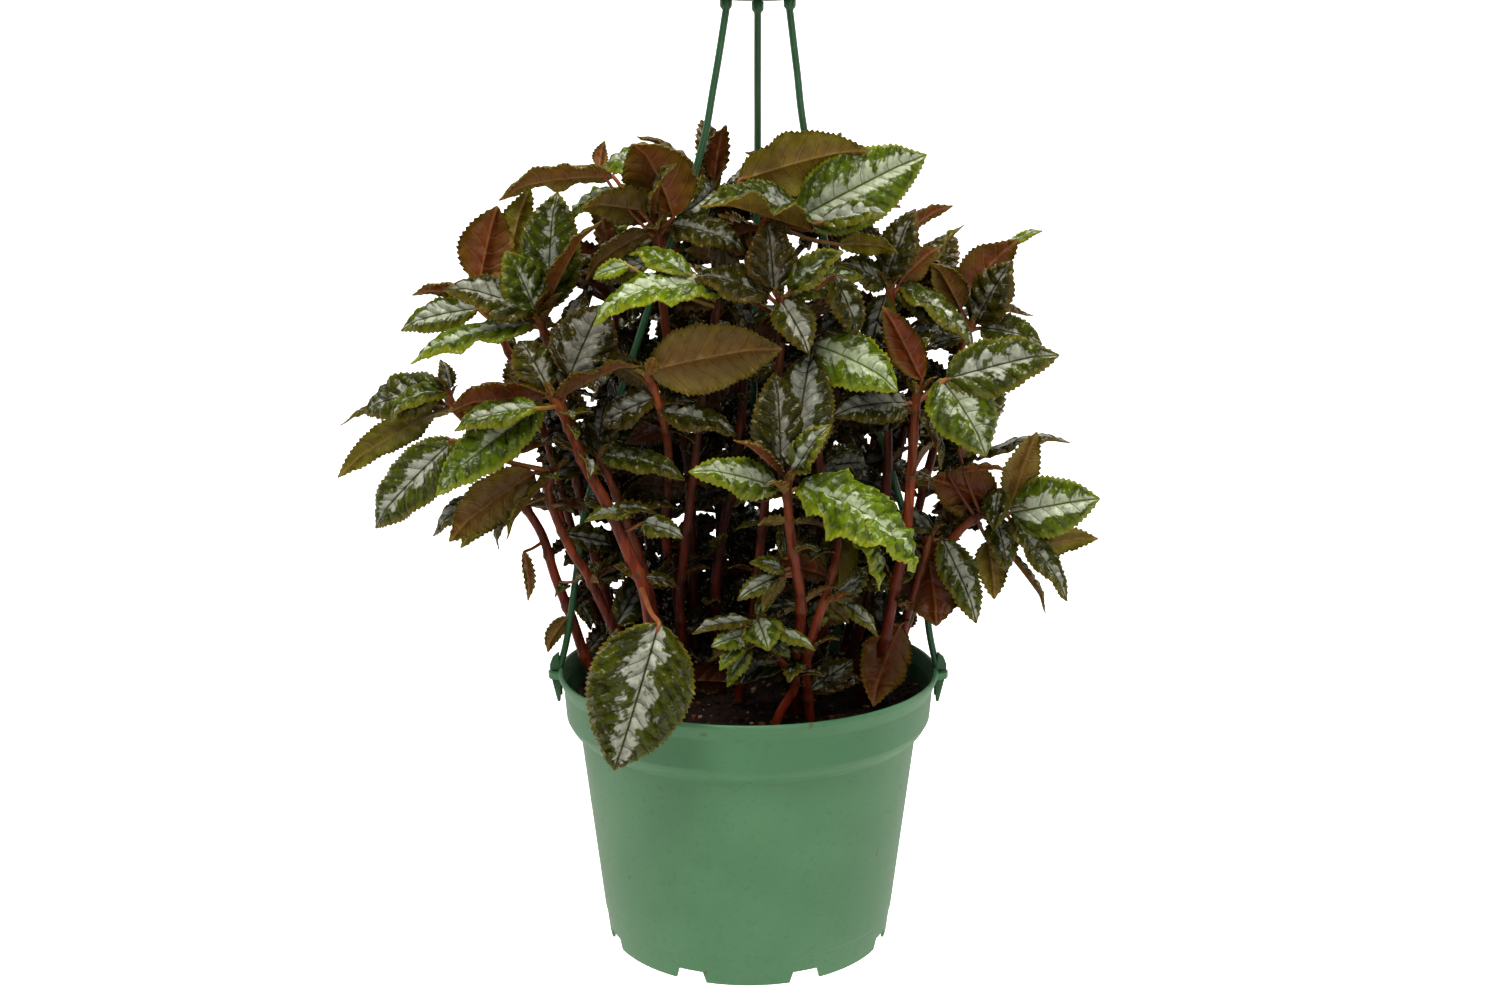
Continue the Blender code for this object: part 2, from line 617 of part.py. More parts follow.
def radial_prism(outline, angle, thick):
    """A flat piece that stands in the radial plane of an ear: outline of radius and height."""
    out = ear_place(angle, 1.0)
    side = Vector((-out.y, out.x, 0)) * (thick / 2)
    n = len(outline)
    points = [out * r - side + Vector((0, 0, z)) for r, z in outline]
    points += [out * r + side + Vector((0, 0, z)) for r, z in outline]
    faces = [tuple(reversed(range(n))), tuple(range(n, 2 * n))]
    faces += [(i, (i + 1) % n, n + (i + 1) % n, n + i) for i in range(n)]
    return points, faces


def face_outwards(ob):
    """Turns a closed mesh's faces outwards."""
    bm = bmesh.new()
    bm.from_mesh(ob.data)
    bmesh.ops.recalc_face_normals(bm, faces=bm.faces)
    bm.to_mesh(ob.data)
    bm.free()


# The strands' lines from the ear up to the hub, as the photo shows them, and the hidden one by their like.
STRANDS = {
    "strand_left": dict(ear=0, mid=[(-79, 134, 0), (-73, 172, 0), (-68, 198, 0), (-44, 270, 0), (-21, 336, 0),
                                    (-14, 368, 0)], top=(-1, 0)),
    "strand_right": dict(ear=1, mid=[(79.5, 134, 0), (76, 158, 0), (72, 174, 0), (66, 192, 0), (60, 212, 0),
                                     (38, 280, 0), (24, 345, 0), (20, 374, 0)], top=(1, 0)),
    "strand_back": dict(ear=2, mid=[(1, 140, 79), (2, 200, 66), (3, 270, 46), (4, 335, 26), (4, 372, 17)],
                        top=(0, 1)),
}
STOP_TOP = 127.0
BARB_TIP = 104.5
BARB_THICK, STOP_THICK = 2.6, 2.6


def strand_path(spec):
    """A strand's middle line between its stop and its collar, in space."""
    foot = ear_place(EAR_ANGLES[spec["ear"]], EAR_HOLE_CENTRE)
    head = Vector((HUB_X + spec["top"][0] * STRAND_TOP_RADIUS, spec["top"][1] * STRAND_TOP_RADIUS, 0))
    line = [foot + Vector((0, 0, EAR_HIGH + GAP))]
    line += [Vector((x, y, z)) if spec["ear"] == 2 else sight(x, z, y) for x, z, y in spec["mid"]]
    line.append(head + Vector((0, 0, HUB_LOW - GAP - 5.0)))
    return line


def strand_tube(spec):
    """A strand's round run: neck through the ear, long rod, collar, neck through the hub, and head."""
    angle = EAR_ANGLES[spec["ear"]]
    line = strand_path(spec)
    foot, head = ear_place(angle, EAR_HOLE_CENTRE), line[-1]
    up = Vector((0, 0, 1))
    path = [foot + up * (BARB_TIP + 3), foot + up * (EAR_HIGH + GAP)]
    radii = [NECK_RADIUS, NECK_RADIUS]
    path += [foot + up * (EAR_HIGH + GAP + 0.02)] + line[1:-1]
    radii += [STRAND_RADIUS] * (len(line) - 1)
    path += [Vector((head.x, head.y, z)) for z in (
        HUB_LOW - GAP - 9.0, HUB_LOW - GAP - 4.0, HUB_LOW - GAP, HUB_LOW - GAP + 0.02, HUB_HIGH + GAP,
        HUB_HIGH + GAP + 0.02, HUB_HIGH + 2.6)]
    radii += [STRAND_RADIUS, COLLAR_RADIUS, COLLAR_RADIUS, NECK_RADIUS, NECK_RADIUS, COLLAR_RADIUS,
              COLLAR_RADIUS - 0.5]
    return tube(path, radii, STRAND_SIDES)


def strand_ends(angle):
    """A strand's flat pieces at the ear: the barb under it and the stop over it."""
    c, low, high = EAR_HOLE_CENTRE, EAR_LOW - GAP, EAR_HIGH + GAP
    barb = [(c - 1.1, low), (c + 3.4, low), (c + 0.9, BARB_TIP), (c - 0.3, BARB_TIP)]
    stop = [(c - 0.6, high), (c + 4.0, high), (c + 4.0, 121.4), (c + 2.8, 124.6), (c, STOP_TOP)]
    return radial_prism(barb, angle, BARB_THICK), radial_prism(stop, angle, STOP_THICK)


def make_strand(name, spec, mat):
    """A strand with its barb and stop."""
    ob = add_mesh(name, *strand_tube(spec), mat)
    extra = collection(name + "_ends")
    for i, end in enumerate(strand_ends(EAR_ANGLES[spec["ear"]])):
        piece = add_mesh(f"{name}_end_{i}", *end, home=extra)
        face_outwards(piece)
        hide_cutter(piece)
    boolean(ob, extra, "UNION")
    settle(ob)
    clear_collection(extra)
    return ob


def make_hook(mat, parts):
    """The hub with its three holes, and the plain hook that rises from it."""
    centre = Vector((HUB_X, 0, 0))
    arc = HOOK_INNER_RADIUS + HOOK_ROD_RADIUS
    mid = HANG_HEIGHT - HOOK_INNER_RADIUS
    line = [(0, HUB_LOW + 1), (0, HOOK_JOG_LOW), (arc * 0.12, HOOK_JOG_LOW + 6),
            (arc * 0.88, HOOK_JOG_HIGH - 6), (arc, HOOK_JOG_HIGH), (arc, mid)]
    line += [(arc * math.cos(t), mid + arc * math.sin(t)) for t in [math.pi * k / 10 for k in range(1, 11)]]
    line.append((-arc - 0.2, mid - HOOK_TIP_DROP * 0.5))
    line.append((-arc - HOOK_TIP_FLARE, mid - HOOK_TIP_DROP))
    path = [centre + Vector((x, 0, z)) for x, z in line]
    radii = [HOOK_ROD_RADIUS + 1.2] + [HOOK_ROD_RADIUS] * (len(path) - 1)
    rod = add_mesh("hook_rod", *tube(path, radii, ROD_SIDES), home=parts)
    hide_cutter(rod)
    turns = [math.tau * k / HUB_STEPS for k in range(HUB_STEPS)]
    outline = [(HUB_X + HUB_RADIUS * math.cos(t), HUB_RADIUS * math.sin(t)) for t in turns]
    hub = add_mesh("hanger_hook", *prism(outline, HUB_LOW, HUB_HIGH), mat)
    holes = collection("hub_holes")
    for name, spec in STRANDS.items():
        place = centre + Vector((*spec["top"], 0)) * STRAND_TOP_RADIUS
        path = [place + Vector((0, 0, HUB_LOW - 4)), place + Vector((0, 0, HUB_HIGH + 4))]
        hide_cutter(add_mesh("hub_hole_" + name, *tube(path, [HUB_HOLE_RADIUS] * 2, HOLE_SIDES), home=holes))
    boolean(hub, rod, "UNION")
    boolean(hub, holes, "DIFFERENCE")
    settle(hub)
    clear_collection(holes)
    clear_collection(parts)
    return hub


# Leaves and stems

def half_width(t):
    """Half the blade's width along its length, as a share of the widest half."""
    if t < WIDEST:
        return (1 - (1 - t / WIDEST) ** 2) ** 0.62
    return math.cos((t - WIDEST) / (1 - WIDEST) * math.pi / 2) ** 0.86


def bend_clear_choices(leaf):
    """Ways to set a leaf a little aside, the smallest change first. Depth changes don't show in the photo."""
    yield leaf
    for base, tip in LEAF_SLIDES:
        yield dict(leaf, base=slide(leaf["base"], base), tip=slide(leaf["tip"], tip))
    for size in SMALLER_SIZES:
        tip_at, width = leaf["base"].lerp(leaf["tip"], size), leaf["width"] * size
        for base, tip in SMALLER_SLIDES:
            yield dict(leaf, base=slide(leaf["base"], base), tip=slide(tip_at, tip), width=width)


def slide(point, depth):
    """A point moved along its line of sight by a depth."""
    ray = point - EYE
    return point + ray * (depth / ray.y)


def facing_normal(base, tip, face):
    """The upper side's direction: 0 faces the eye, 90 faces up, 180 turns the underside to the eye."""
    along = (tip - base).normalized()
    eye = towards_eye((base + tip) / 2)
    front = (eye - along * eye.dot(along)).normalized()
    up = along.cross(front)
    if up.z < 0 or (abs(up.z) < 0.08 and up.x < 0):
        up = -up
    turn = math.radians(face)
    return (front * math.cos(turn) + up * math.sin(turn)).normalized()


def midrib(leaf, t):
    """A point on the midrib, its forward direction and the upper side's direction there."""
    along = leaf["tip"] - leaf["base"]
    length = along.length
    along = along / length
    normal = (leaf["normal"] - along * leaf["normal"].dot(along)).normalized()
    bend = math.radians(leaf["arch"])
    if abs(bend) < 0.02:
        return leaf["base"] + along * (length * t), along, normal
    radius = length / (2 * math.sin(bend / 2))
    turn = bend * (t - 0.5)
    rise = radius * (math.cos(turn) - math.cos(bend / 2))
    run = length / 2 + radius * math.sin(turn)
    point = leaf["base"] + along * run + normal * rise
    forward = along * math.cos(turn) - normal * math.sin(turn)
    upper = normal * math.cos(turn) + along * math.sin(turn)
    return point, forward, upper


def leaf_mesh(leaf, grow=0.0):
    """Points and faces of a closed toothed blade with its petiole: thick at the midrib, sharp at the edge."""
    length = (leaf["tip"] - leaf["base"]).length
    teeth = 3 if length > LONG_LEAF else 2 if length > MIDDLE_LEAF else 1
    teeth = min(teeth, leaf.get("teeth", teeth))
    ribs = teeth if leaf["arch"] > SHARP_ARCH else min(teeth, 2)
    fold = math.radians(leaf["fold"])
    wave = random.Random(leaf["seed"])
    thick = BLADE_THICK / 2 + grow
    widest = leaf["width"] / 2

    def place(t, side, share, lift):
        point, forward, upper = midrib(leaf, t)
        across = upper.cross(forward) * side
        width = share * widest
        return point + across * width * math.cos(fold) + upper * (width * math.sin(fold) + lift)

    start, first = leaf["root"], leaf["base"]
    _, forward, upper = midrib(leaf, 0.0)
    run = (first - start).normalized() if (first - start).length > 0.01 else forward
    petiole_up = (upper - run * upper.dot(run)).normalized()
    petiole_side = petiole_up.cross(run)
    half = PETIOLE_HALF * leaf.get("petiole", 1.0) + grow
    points, top, low = [], [], []

    def add(point):
        points.append(point)
        return len(points) - 1

    sides = {1: [], -1: []}
    top.append((0.0, add(start + petiole_up * thick)))
    low.append((0.0, add(start - petiole_up * thick)))
    stalked = (first - start).length > STALK
    if stalked:
        top.append((0.08, add(first + petiole_up * thick)))
        low.append((0.08, add(first - petiole_up * thick)))
    for i in range(1, ribs):
        t = i / ribs
        point, _, upper_here = midrib(leaf, t)
        edge = min(1.0, 0.55 + half_width(t))
        top.append((0.08 + t * 0.92, add(point + upper_here * thick * edge)))
        low.append((0.08 + t * 0.92, add(point - upper_here * thick * edge)))
    tip = add(leaf["tip"] + forward * grow)
    top.append((1.0, tip))
    low.append((1.0, tip))
    for side in (1, -1):
        sides[side].append((0.0, add(start + petiole_side * side * half)))
        if stalked:
            sides[side].append((0.08, add(first + petiole_side * side * half)))
        for k in range(1, 2 * teeth + 1):
            t = (k - 0.35) / (2 * teeth + 0.6)
            out = TOOTH if k % 2 == 0 else -TOOTH * 0.4
            share = half_width(t) + (out + grow) / widest
            lift = wave.uniform(-0.05, 0.05) * widest
            sides[side].append((0.08 + t * 0.92, add(place(t, side, share, lift))))
        sides[side].append((1.0, tip))
    faces = []
    for side in (1, -1):
        for chain, flip in ((top, side < 0), (low, side > 0)):
            faces += zipper(chain, sides[side], flip)
    t0, l0, a0, b0 = top[0][1], low[0][1], sides[1][0][1], sides[-1][0][1]
    faces += [(t0, a0, b0), (l0, b0, a0)]
    return points, faces


def zipper(one, two, flip):
    """Triangles between two chains of (share of length, point) that start apart and meet at the end."""
    faces, i, j = [], 0, 0
    while i < len(one) - 1 or j < len(two) - 1:
        step_one = j == len(two) - 1 or (i < len(one) - 1 and one[i + 1][0] <= two[j + 1][0])
        if step_one:
            face = (one[i][1], one[i + 1][1], two[j][1])
            i += 1
        else:
            face = (one[i][1], two[j + 1][1], two[j][1])
            j += 1
        if len(set(face)) == 3:
            faces.append(tuple(reversed(face)) if flip else face)
    return faces


def stem_path(shoot):
    """A stem's middle line: straight down in its hole, then up through the places that the photo shows."""
    x, y = shoot["root"]
    line = [Vector((x, y, SOIL_TOP - ROOT_DEPTH)), Vector((x, y, SOIL_TOP + 1.5))]
    line += shoot["line"]
    return line


def stem_radii(line, thick):
    """Stem radii: fuller at the joints, and thinner towards the top."""
    radii = []
    for i in range(len(line)):
        share = i / (len(line) - 1)
        radii.append(thick * (1 - 0.36 * share) * (1.0 if i < 2 else 1.06))
    return radii


def nearest_on(line, point):
    """The nearest point of a stem's middle line above the soil."""
    best, far = line[-1], (line[-1] - point).length
    for a, b in zip(line[2:], line[3:]):
        for k in range(9):
            here = a.lerp(b, k / 8)
            if (here - point).length < far:
                best, far = here, (here - point).length
    return best


def stem_socket(line, base, number):
    """Where a petiole starts inside its stem, a little to the leaf's side; each pair sits under the last."""
    near = nearest_on(line, base)
    end = line[-1] - line[-2]
    sink = TOP_SINK + PAIR_STEP * (number // 2)
    if (near - line[-1]).length < sink:
        near = line[-1] - end.normalized() * sink
    way = base - near
    return near + way.normalized() * min(SOCKET, way.length / 2)


def tree_of(mesh):
    points, faces = mesh
    return BVHTree.FromPolygons(points, faces)


def box_of(points):
    low = Vector(min(p[i] for p in points) for i in range(3))
    high = Vector(max(p[i] for p in points) for i in range(3))
    return low, high


def boxes_meet(a, b):
    return all(a[0][i] <= b[1][i] and b[0][i] <= a[1][i] for i in range(3))


class Crowd:
    """What has been placed so far, by owner, so that a new leaf can be set clear of all but its own stem."""

    def __init__(self):
        self.placed = []

    def add(self, owner, mesh):
        self.placed.append((owner, box_of(mesh[0]), tree_of(mesh)))

    def clear(self, owner, mesh):
        box, tree = box_of(mesh[0]), tree_of(mesh)
        return not any(who != owner and boxes_meet(box, other) and tree.overlap(placed)
                       for who, other, placed in self.placed)


def outer_blade(leaf):
    """A blade without the part by its stem, where leaves of one whorl meet."""
    points, faces = leaf_mesh(leaf)
    root = leaf["root"]
    far = [(p - root).length > WHORL_RADIUS for p in points]
    return points, [f for f in faces if all(far[i] for i in f)]


def shoots_from_photo():
    """The stems that the photo shows, with their lines and leaves as points in space."""
    made = {}
    for name, row in SHOOTS.items():
        line = [sight(x, z, y) for x, z, y in row["stem"]]
        shoot = dict(root=row["root"], line=line, thick=row["thick"], leaves=[])
        for n, (x0, z0, x1, z1, dy, width, face, arch, fold, *nearer) in enumerate(row["leaves"]):
            near = min(line, key=lambda p: (p - sight(x0, z0, p.y)).length)
            depth = near.y - sum(nearer)
            base, tip = sight(x0, z0, depth), sight(x1, z1, depth + dy)
            if name == "left_front" and n == HANGING_LEAF:
                base, tip = sight(x0, z0, HANGING_DEPTH), sight(x1, z1, HANGING_DEPTH + dy)
            shoot["leaves"].append(dict(
                base=base, tip=tip, width=width, normal=facing_normal(base, tip, face), arch=arch, fold=fold,
                pair=n, seed=f"{name}{n}"))
        made[name] = shoot
    return made


HANGING_LEAF, HANGING_DEPTH = 7, -90.0

# Tries to set a leaf or a stem clear of its neighbours, in the order of trying. A leaf's are slides in depth
# of its base and its tip, and a stem's are a bow in depth and a shift to the side.
LEAF_SLIDES = ((0, -7), (0, 7), (-3, -4), (3, 4), (-4, -12), (4, 12), (-8, -8), (8, 8), (0, -16), (0, 16),
               (-8, -18), (8, 18), (-6, -25), (6, 25), (0, 32), (0, -32))
SMALLER_SIZES = (0.86, 0.72, 0.58)
SMALLER_SLIDES = ((0, 0), (0, -9), (0, 9), (0, -20), (0, 20), (5, 30), (-5, -30))
STEM_SHIFTS = ((0, 0), (6, 0), (-6, 0), (12, 0), (-12, 0), (0, 4), (0, -4), (8, 4), (-8, -4), (18, 0),
               (14, 6), (-14, -6), (24, 0), (-18, 0))


def shoots_by_rule(rng):
    """The hidden stems: crossed pairs of leaves up the last of each, the lowest pair the most spread."""
    made = {}
    for number, (name, (top, length)) in enumerate(HIDDEN_TOPS.items()):
        top = Vector(top)
        root = ROOT_PLACES[number]
        soil = Vector((*root, SOIL_TOP + 1.5))
        line = []
        for share in (0.3, 0.65, 1.0):
            here = soil.lerp(top, share)
            out = 1 - (1 - share) ** 1.5
            line.append(Vector((soil.x + (top.x - soil.x) * out, soil.y + (top.y - soil.y) * out, here.z)))
        lean = (line[-1] - line[-2]).normalized()
        turn = rng.uniform(0, math.pi)
        leaves = []
        for pair in range(HIDDEN_PAIRS):
            at = line[-1] - lean * HIDDEN_STEP * (HIDDEN_PAIRS - 1 - pair)
            for end in (0, 1):
                angle = turn + math.pi / 2 * pair + math.pi * end + rng.uniform(-0.25, 0.25)
                rise = math.radians(HIDDEN_SPREAD[pair] + rng.uniform(-8, 8))
                level = Vector((math.cos(angle), math.sin(angle), 0))
                way = level * math.cos(rise) + Vector((0, 0, math.sin(rise)))
                size = length * HIDDEN_LENGTH[pair] * rng.uniform(0.85, 1.1)
                base = at + way * 4.0
                normal = Vector((0, 0, 1)) - way * way.z
                leaves.append(dict(
                    base=base, tip=base + way * size, width=size * rng.uniform(0.46, 0.54),
                    normal=normal.normalized(), arch=rng.uniform(18, 40), fold=rng.uniform(6, 16),
                    teeth=HIDDEN_TEETH[pair], pair=0, seed=f"{name}{pair}{end}"))
        made[name] = dict(root=root, line=line, thick=HIDDEN_THICK, leaves=leaves)
    return made


ROOT_PLACES = [
    (-34, 40), (-10, 50), (16, 48), (42, 42), (-52, 34), (-26, 60), (2, 68), (30, 62), (58, 30),
    (-12, 28), (18, 24), (-38, 24), (34, 26), (4, 38),
]


def lathe(profile, steps):
    """Points and faces of a ring turned about z from a closed profile."""
    count = len(profile)
    points = [(r * math.cos(math.tau * k / steps), r * math.sin(math.tau * k / steps), z)
              for k in range(steps) for r, z in profile]
    faces = [(k * count + i, k * count + (i + 1) % count, (k + 1) % steps * count + (i + 1) % count,
              (k + 1) % steps * count + i) for k in range(steps) for i in range(count)]
    return points, faces


def fixed_pieces():
    """What the plant has to stay clear of: the pot with its ears, and the strands."""
    pieces = [lathe(pot_profile(), POT_STEPS)] + [ear_prism(angle) for angle in EAR_ANGLES]
    for spec in STRANDS.values():
        pieces.append(strand_tube(spec))
        pieces += strand_ends(EAR_ANGLES[spec["ear"]])
    return pieces


def settle_plant():
    """Sets every stem and leaf where it crosses no other piece: the shoots, and what found no place."""
    shoots = shoots_from_photo()
    shoots.update(shoots_by_rule(random.Random(SEED)))
    crowd = Crowd()
    for mesh in fixed_pieces():
        crowd.add("fixed", mesh)
    dropped = []
    for name, shoot in shoots.items():
        first = list(shoot["line"])
        for depth, aside in STEM_SHIFTS:
            bow = [math.sin(math.pi * (i + 1) / len(first)) for i in range(len(first) - 1)]
            shoot["line"] = [slide(p, depth * share) + Vector((aside, 0, 0)) for p, share in zip(first, bow)]
            shoot["line"].append(first[-1])
            line = stem_path(shoot)
            radii = [r + STEM_CLEARANCE for r in stem_radii(line, shoot["thick"])]
            mesh = tube(line, radii, STEM_SIDES)
            if crowd.clear(name, (mesh[0], [f for f in mesh[1]])):
                break
        else:
            dropped.append((name, "stem"))
        line = stem_path(shoot)
        crowd.add(name, tube(line, stem_radii(line, shoot["thick"]), STEM_SIDES))
    for name, shoot in shoots.items():
        line = stem_path(shoot)
        kept, own = [], Crowd()
        for n, leaf in enumerate(shoot["leaves"]):
            second = None
            for choice in bend_clear_choices(leaf):
                choice["root"] = stem_socket(line, choice["base"], choice["pair"])
                if not crowd.clear(name, leaf_mesh(choice, CLEARANCE)):
                    continue
                if own.clear(None, outer_blade(choice)):
                    break
                second = second or choice
            else:
                choice = second
            if choice is None:
                dropped.append((name, n))
                continue
            crowd.add(name, leaf_mesh(choice))
            if outer_blade(choice)[1]:
                own.add("", outer_blade(choice))
            kept.append(choice)
        shoot["leaves"] = kept
    return shoots, dropped


def keep_body(mesh):
    """Keeps a union's largest body, without loose scraps and with sealed hollows filled: is it closed, and
    how many points each loose body had."""
    bm = bmesh.new()
    bm.from_mesh(mesh)
    bmesh.ops.remove_doubles(bm, verts=bm.verts, dist=WELD * MM)
    bmesh.ops.dissolve_degenerate(bm, edges=bm.edges, dist=WELD * MM)
    left, bodies = set(bm.faces), []
    while left:
        edge = [left.pop()]
        body = set(edge)
        while edge:
            for side in edge.pop().edges:
                for other in side.link_faces:
                    if other in left:
                        left.discard(other)
                        body.add(other)
                        edge.append(other)
        bodies.append(body)
    largest = max(bodies, key=len)
    loose = []
    for body in bodies:
        if body is largest:
            continue
        points = {v for f in body for v in f.verts}
        middle = sum((v.co for v in points), Vector()) / len(points)
        outwards = sum((f.calc_center_median() - middle).dot(f.normal) * f.calc_area() for f in body)
        if outwards > 0:
            loose.append(len(points))
    bmesh.ops.delete(bm, geom=[f for f in bm.faces if f not in largest], context="FACES")
    closed = all(len(e.link_faces) == 2 for e in bm.edges)
    bm.to_mesh(mesh)
    bm.free()
    return closed, loose


def fuse(ob, leaves):
    """Joins a stem's leaves to it, by the solver that leaves one closed body."""
    plain = ob.data.copy()
    smallest_first = sorted(leaves.objects, key=lambda leaf: leaf.dimensions.length)
    for spoiler in [None] + smallest_first:
        if spoiler:
            leaves.objects.unlink(spoiler)
        for solver in ("EXACT", "MANIFOLD"):
            ob.data = plain.copy()
            boolean(ob, leaves, "UNION", solver)
            settle(ob)
            closed, loose = keep_body(ob.data)
            if closed and not any(n >= SCRAP for n in loose):
                return
        if spoiler:
            leaves.objects.link(spoiler)


def make_shoot(name, shoot, mat):
    """One leafy stem: its leaves fused to it with one union."""
    line = stem_path(shoot)
    points, faces = tube(line, stem_radii(line, shoot["thick"]), STEM_SIDES)
    ob = add_mesh("stem_" + name, points, faces, mat)
    leaves = collection("leaves_" + name)
    for n, leaf in enumerate(shoot["leaves"]):
        add_mesh(f"{name}_leaf_{n}", *leaf_mesh(leaf), home=leaves)
    fuse(ob, leaves)
    clear_collection(leaves)
    return ob


def main():
    clear_scene()
    pot_green = material("pot_green", (0.10, 0.26, 0.14), 0.45)
    hanger_green = material("hanger_green", (0.03, 0.12, 0.06), 0.4)
    soil_brown = material("soil_brown", (0.03, 0.016, 0.01), 0.95)
    leaf_green = material("leaf_and_stem", (0.09, 0.10, 0.03), 0.5)
    cutters = collection("cutters")
    hook_parts = collection("hook_parts")
    make_pot(pot_green, cutters)
    for name, spec in STRANDS.items():
        make_strand(name, spec, hanger_green)
    make_hook(hanger_green, hook_parts)
    shoots = settle_plant()[0]
    rng = random.Random(SEED + 1)
    make_soil(soil_brown, [(*s["root"], s["thick"]) for s in shoots.values()], rng)
    for name, shoot in shoots.items():
        make_shoot(name, shoot, leaf_green)


main()
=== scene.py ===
"""Looks of the bronze pilea: quilted, toothed leaves on red stems, in a green grower's pot on its hanger.

The plant's tables and the rule that sets its leaves clear of each other are those of the part's own source,
so each fine leaf lies where its solid lies. Lengths are in millimetres with the pot's base centre as origin
until a mesh is written. "Behind" is away from the photo's viewer, along +y.
"""
import math
import random

import numpy as np

import bmesh
import bpy
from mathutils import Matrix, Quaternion, Vector, noise
from mathutils.bvhtree import BVHTree


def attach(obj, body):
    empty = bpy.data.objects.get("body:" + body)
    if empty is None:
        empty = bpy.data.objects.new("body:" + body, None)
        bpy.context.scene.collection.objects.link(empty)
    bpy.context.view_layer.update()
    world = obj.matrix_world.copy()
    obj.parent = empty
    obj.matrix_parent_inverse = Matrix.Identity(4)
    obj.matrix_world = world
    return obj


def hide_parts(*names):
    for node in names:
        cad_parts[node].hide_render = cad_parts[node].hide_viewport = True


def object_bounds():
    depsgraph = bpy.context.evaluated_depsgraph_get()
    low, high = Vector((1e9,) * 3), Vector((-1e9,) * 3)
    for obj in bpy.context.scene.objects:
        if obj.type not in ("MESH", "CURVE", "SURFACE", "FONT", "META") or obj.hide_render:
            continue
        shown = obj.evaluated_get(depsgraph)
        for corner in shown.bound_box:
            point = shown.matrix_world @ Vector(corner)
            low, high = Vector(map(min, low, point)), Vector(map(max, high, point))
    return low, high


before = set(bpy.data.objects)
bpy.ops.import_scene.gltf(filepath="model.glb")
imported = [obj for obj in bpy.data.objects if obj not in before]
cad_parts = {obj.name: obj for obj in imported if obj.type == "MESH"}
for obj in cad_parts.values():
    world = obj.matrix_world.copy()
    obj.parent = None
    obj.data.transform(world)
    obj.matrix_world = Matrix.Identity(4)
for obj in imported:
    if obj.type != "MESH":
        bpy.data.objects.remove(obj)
cad_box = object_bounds()

MM = 0.001

# Hanger
HANG_HEIGHT = 468.0  # pot's base to the hook's bearing point
HUB_X = 4.0  # the hub hangs a little right of the pot's axis
HUB_RADIUS = 17.5
STRAND_SIDES = 6
HUB_LOW, HUB_HIGH = 402.4, 407.6
HUB_HOLE_RADIUS = 1.85
STRAND_TOP_RADIUS = 13.0  # of the circle of strands in the hub
STRAND_RADIUS = 1.75
NECK_RADIUS = 1.3
COLLAR_RADIUS = 2.5
HOOK_ROD_RADIUS = 2.5
HOOK_INNER_RADIUS = 12.0
HOOK_TIP_DROP = 9.0
HOOK_TIP_FLARE = 3.5
HOOK_JOG_LOW, HOOK_JOG_HIGH = 420.0, 444.0
GAP = 0.3  # left between pieces that touch

# Pot
POT_STEPS = 30
WALL = 1.3
RIM_RADIUS = 83.0
RIM_HEIGHT = 119.9
WALL_TOP_RADIUS, WALL_TOP = 73.8, 93.0
SEAM_RADIUS, SEAM_HEIGHT = 64.1, 12.35
FOOT_RADIUS = 62.3
FLOOR_LOW, FLOOR_HIGH = 5.6, 7.0
RIM_OUTSIDE = ((80.6, 113.0), (79.6, 100.0), (77.4, 96.0))  # radius and height down the banded rim
RIM_INSIDE = ((76.2, 97.6), (78.3, 101.0), (79.3, 113.4))  # and up its inside
LIP_ROUND, LIP_DROP, LIP_THICK = 0.4, 1.4, 1.7
MIDDLE_HOLE = 0.6
EAR_ANGLES = (-88.0, 88.0, 180.0)  # from the front, seen from above
EAR_HOLE_CENTRE = 82.8
EAR_HOLE_RADIUS = 2.15
EAR_END = 87.6
EAR_START = 80.9
EAR_WIDTH = 9.5
EAR_ROUND = 0.7  # depth of the ear's round end, as a share of half its width
EAR_FLARE = 1.5  # the ear is this much wider on each side where it leaves the rim
EAR_LOW, EAR_HIGH = 115.6, 118.4
NOTCHES = 8
NOTCH_WIDTH_LOW, NOTCH_WIDTH_HIGH = 15.0, 11.0
NOTCH_HEIGHT = 5.0
NOTCH_IN, NOTCH_OUT = 57.0, 66.0
DRAIN_RADIUS = 4.0
DRAIN_CIRCLE = 46.0

# Soil
SOIL_TOP = 106.5
ROOT_DEPTH = 20.0

# Plant
STEM_SIDES = 5
BLADE_THICK = 1.5  # at the midrib; it runs out to a sharp edge
PETIOLE_HALF = 1.0
CLEARANCE = 0.55  # kept around a blade when it is bent clear of its neighbours
STEM_CLEARANCE = 0.5
WIDEST = 0.40  # where along the blade it is widest
TOOTH = 0.9  # how far a tooth stands out of the edge
EDGE_LIFT = 0.05  # a point of the edge is raised or lowered by up to this share of half the width
BLADE_START = 0.08  # of a leaf's chains of points; before it they run along the petiole
LONG_LEAF, MIDDLE_LEAF = 38.0, 15.0
SOCKET = 0.8
STALK = 7.0  # a petiole longer than this gets a joint where the blade starts
TOP_SINK = 2.0  # petioles of the top whorl start this far down in the stem
PAIR_STEP = 1.7
SHARP_ARCH = 21.0
WHORL_RADIUS = 7.0  # leaves of one stem may meet this near to it
SEED = 41

# The photo was taken from here. A place in it is named by where its line of sight meets the upright plane
# through the pot's axis, and by its depth behind that plane.
EYE = Vector((0.8, -690.0, 327.0))

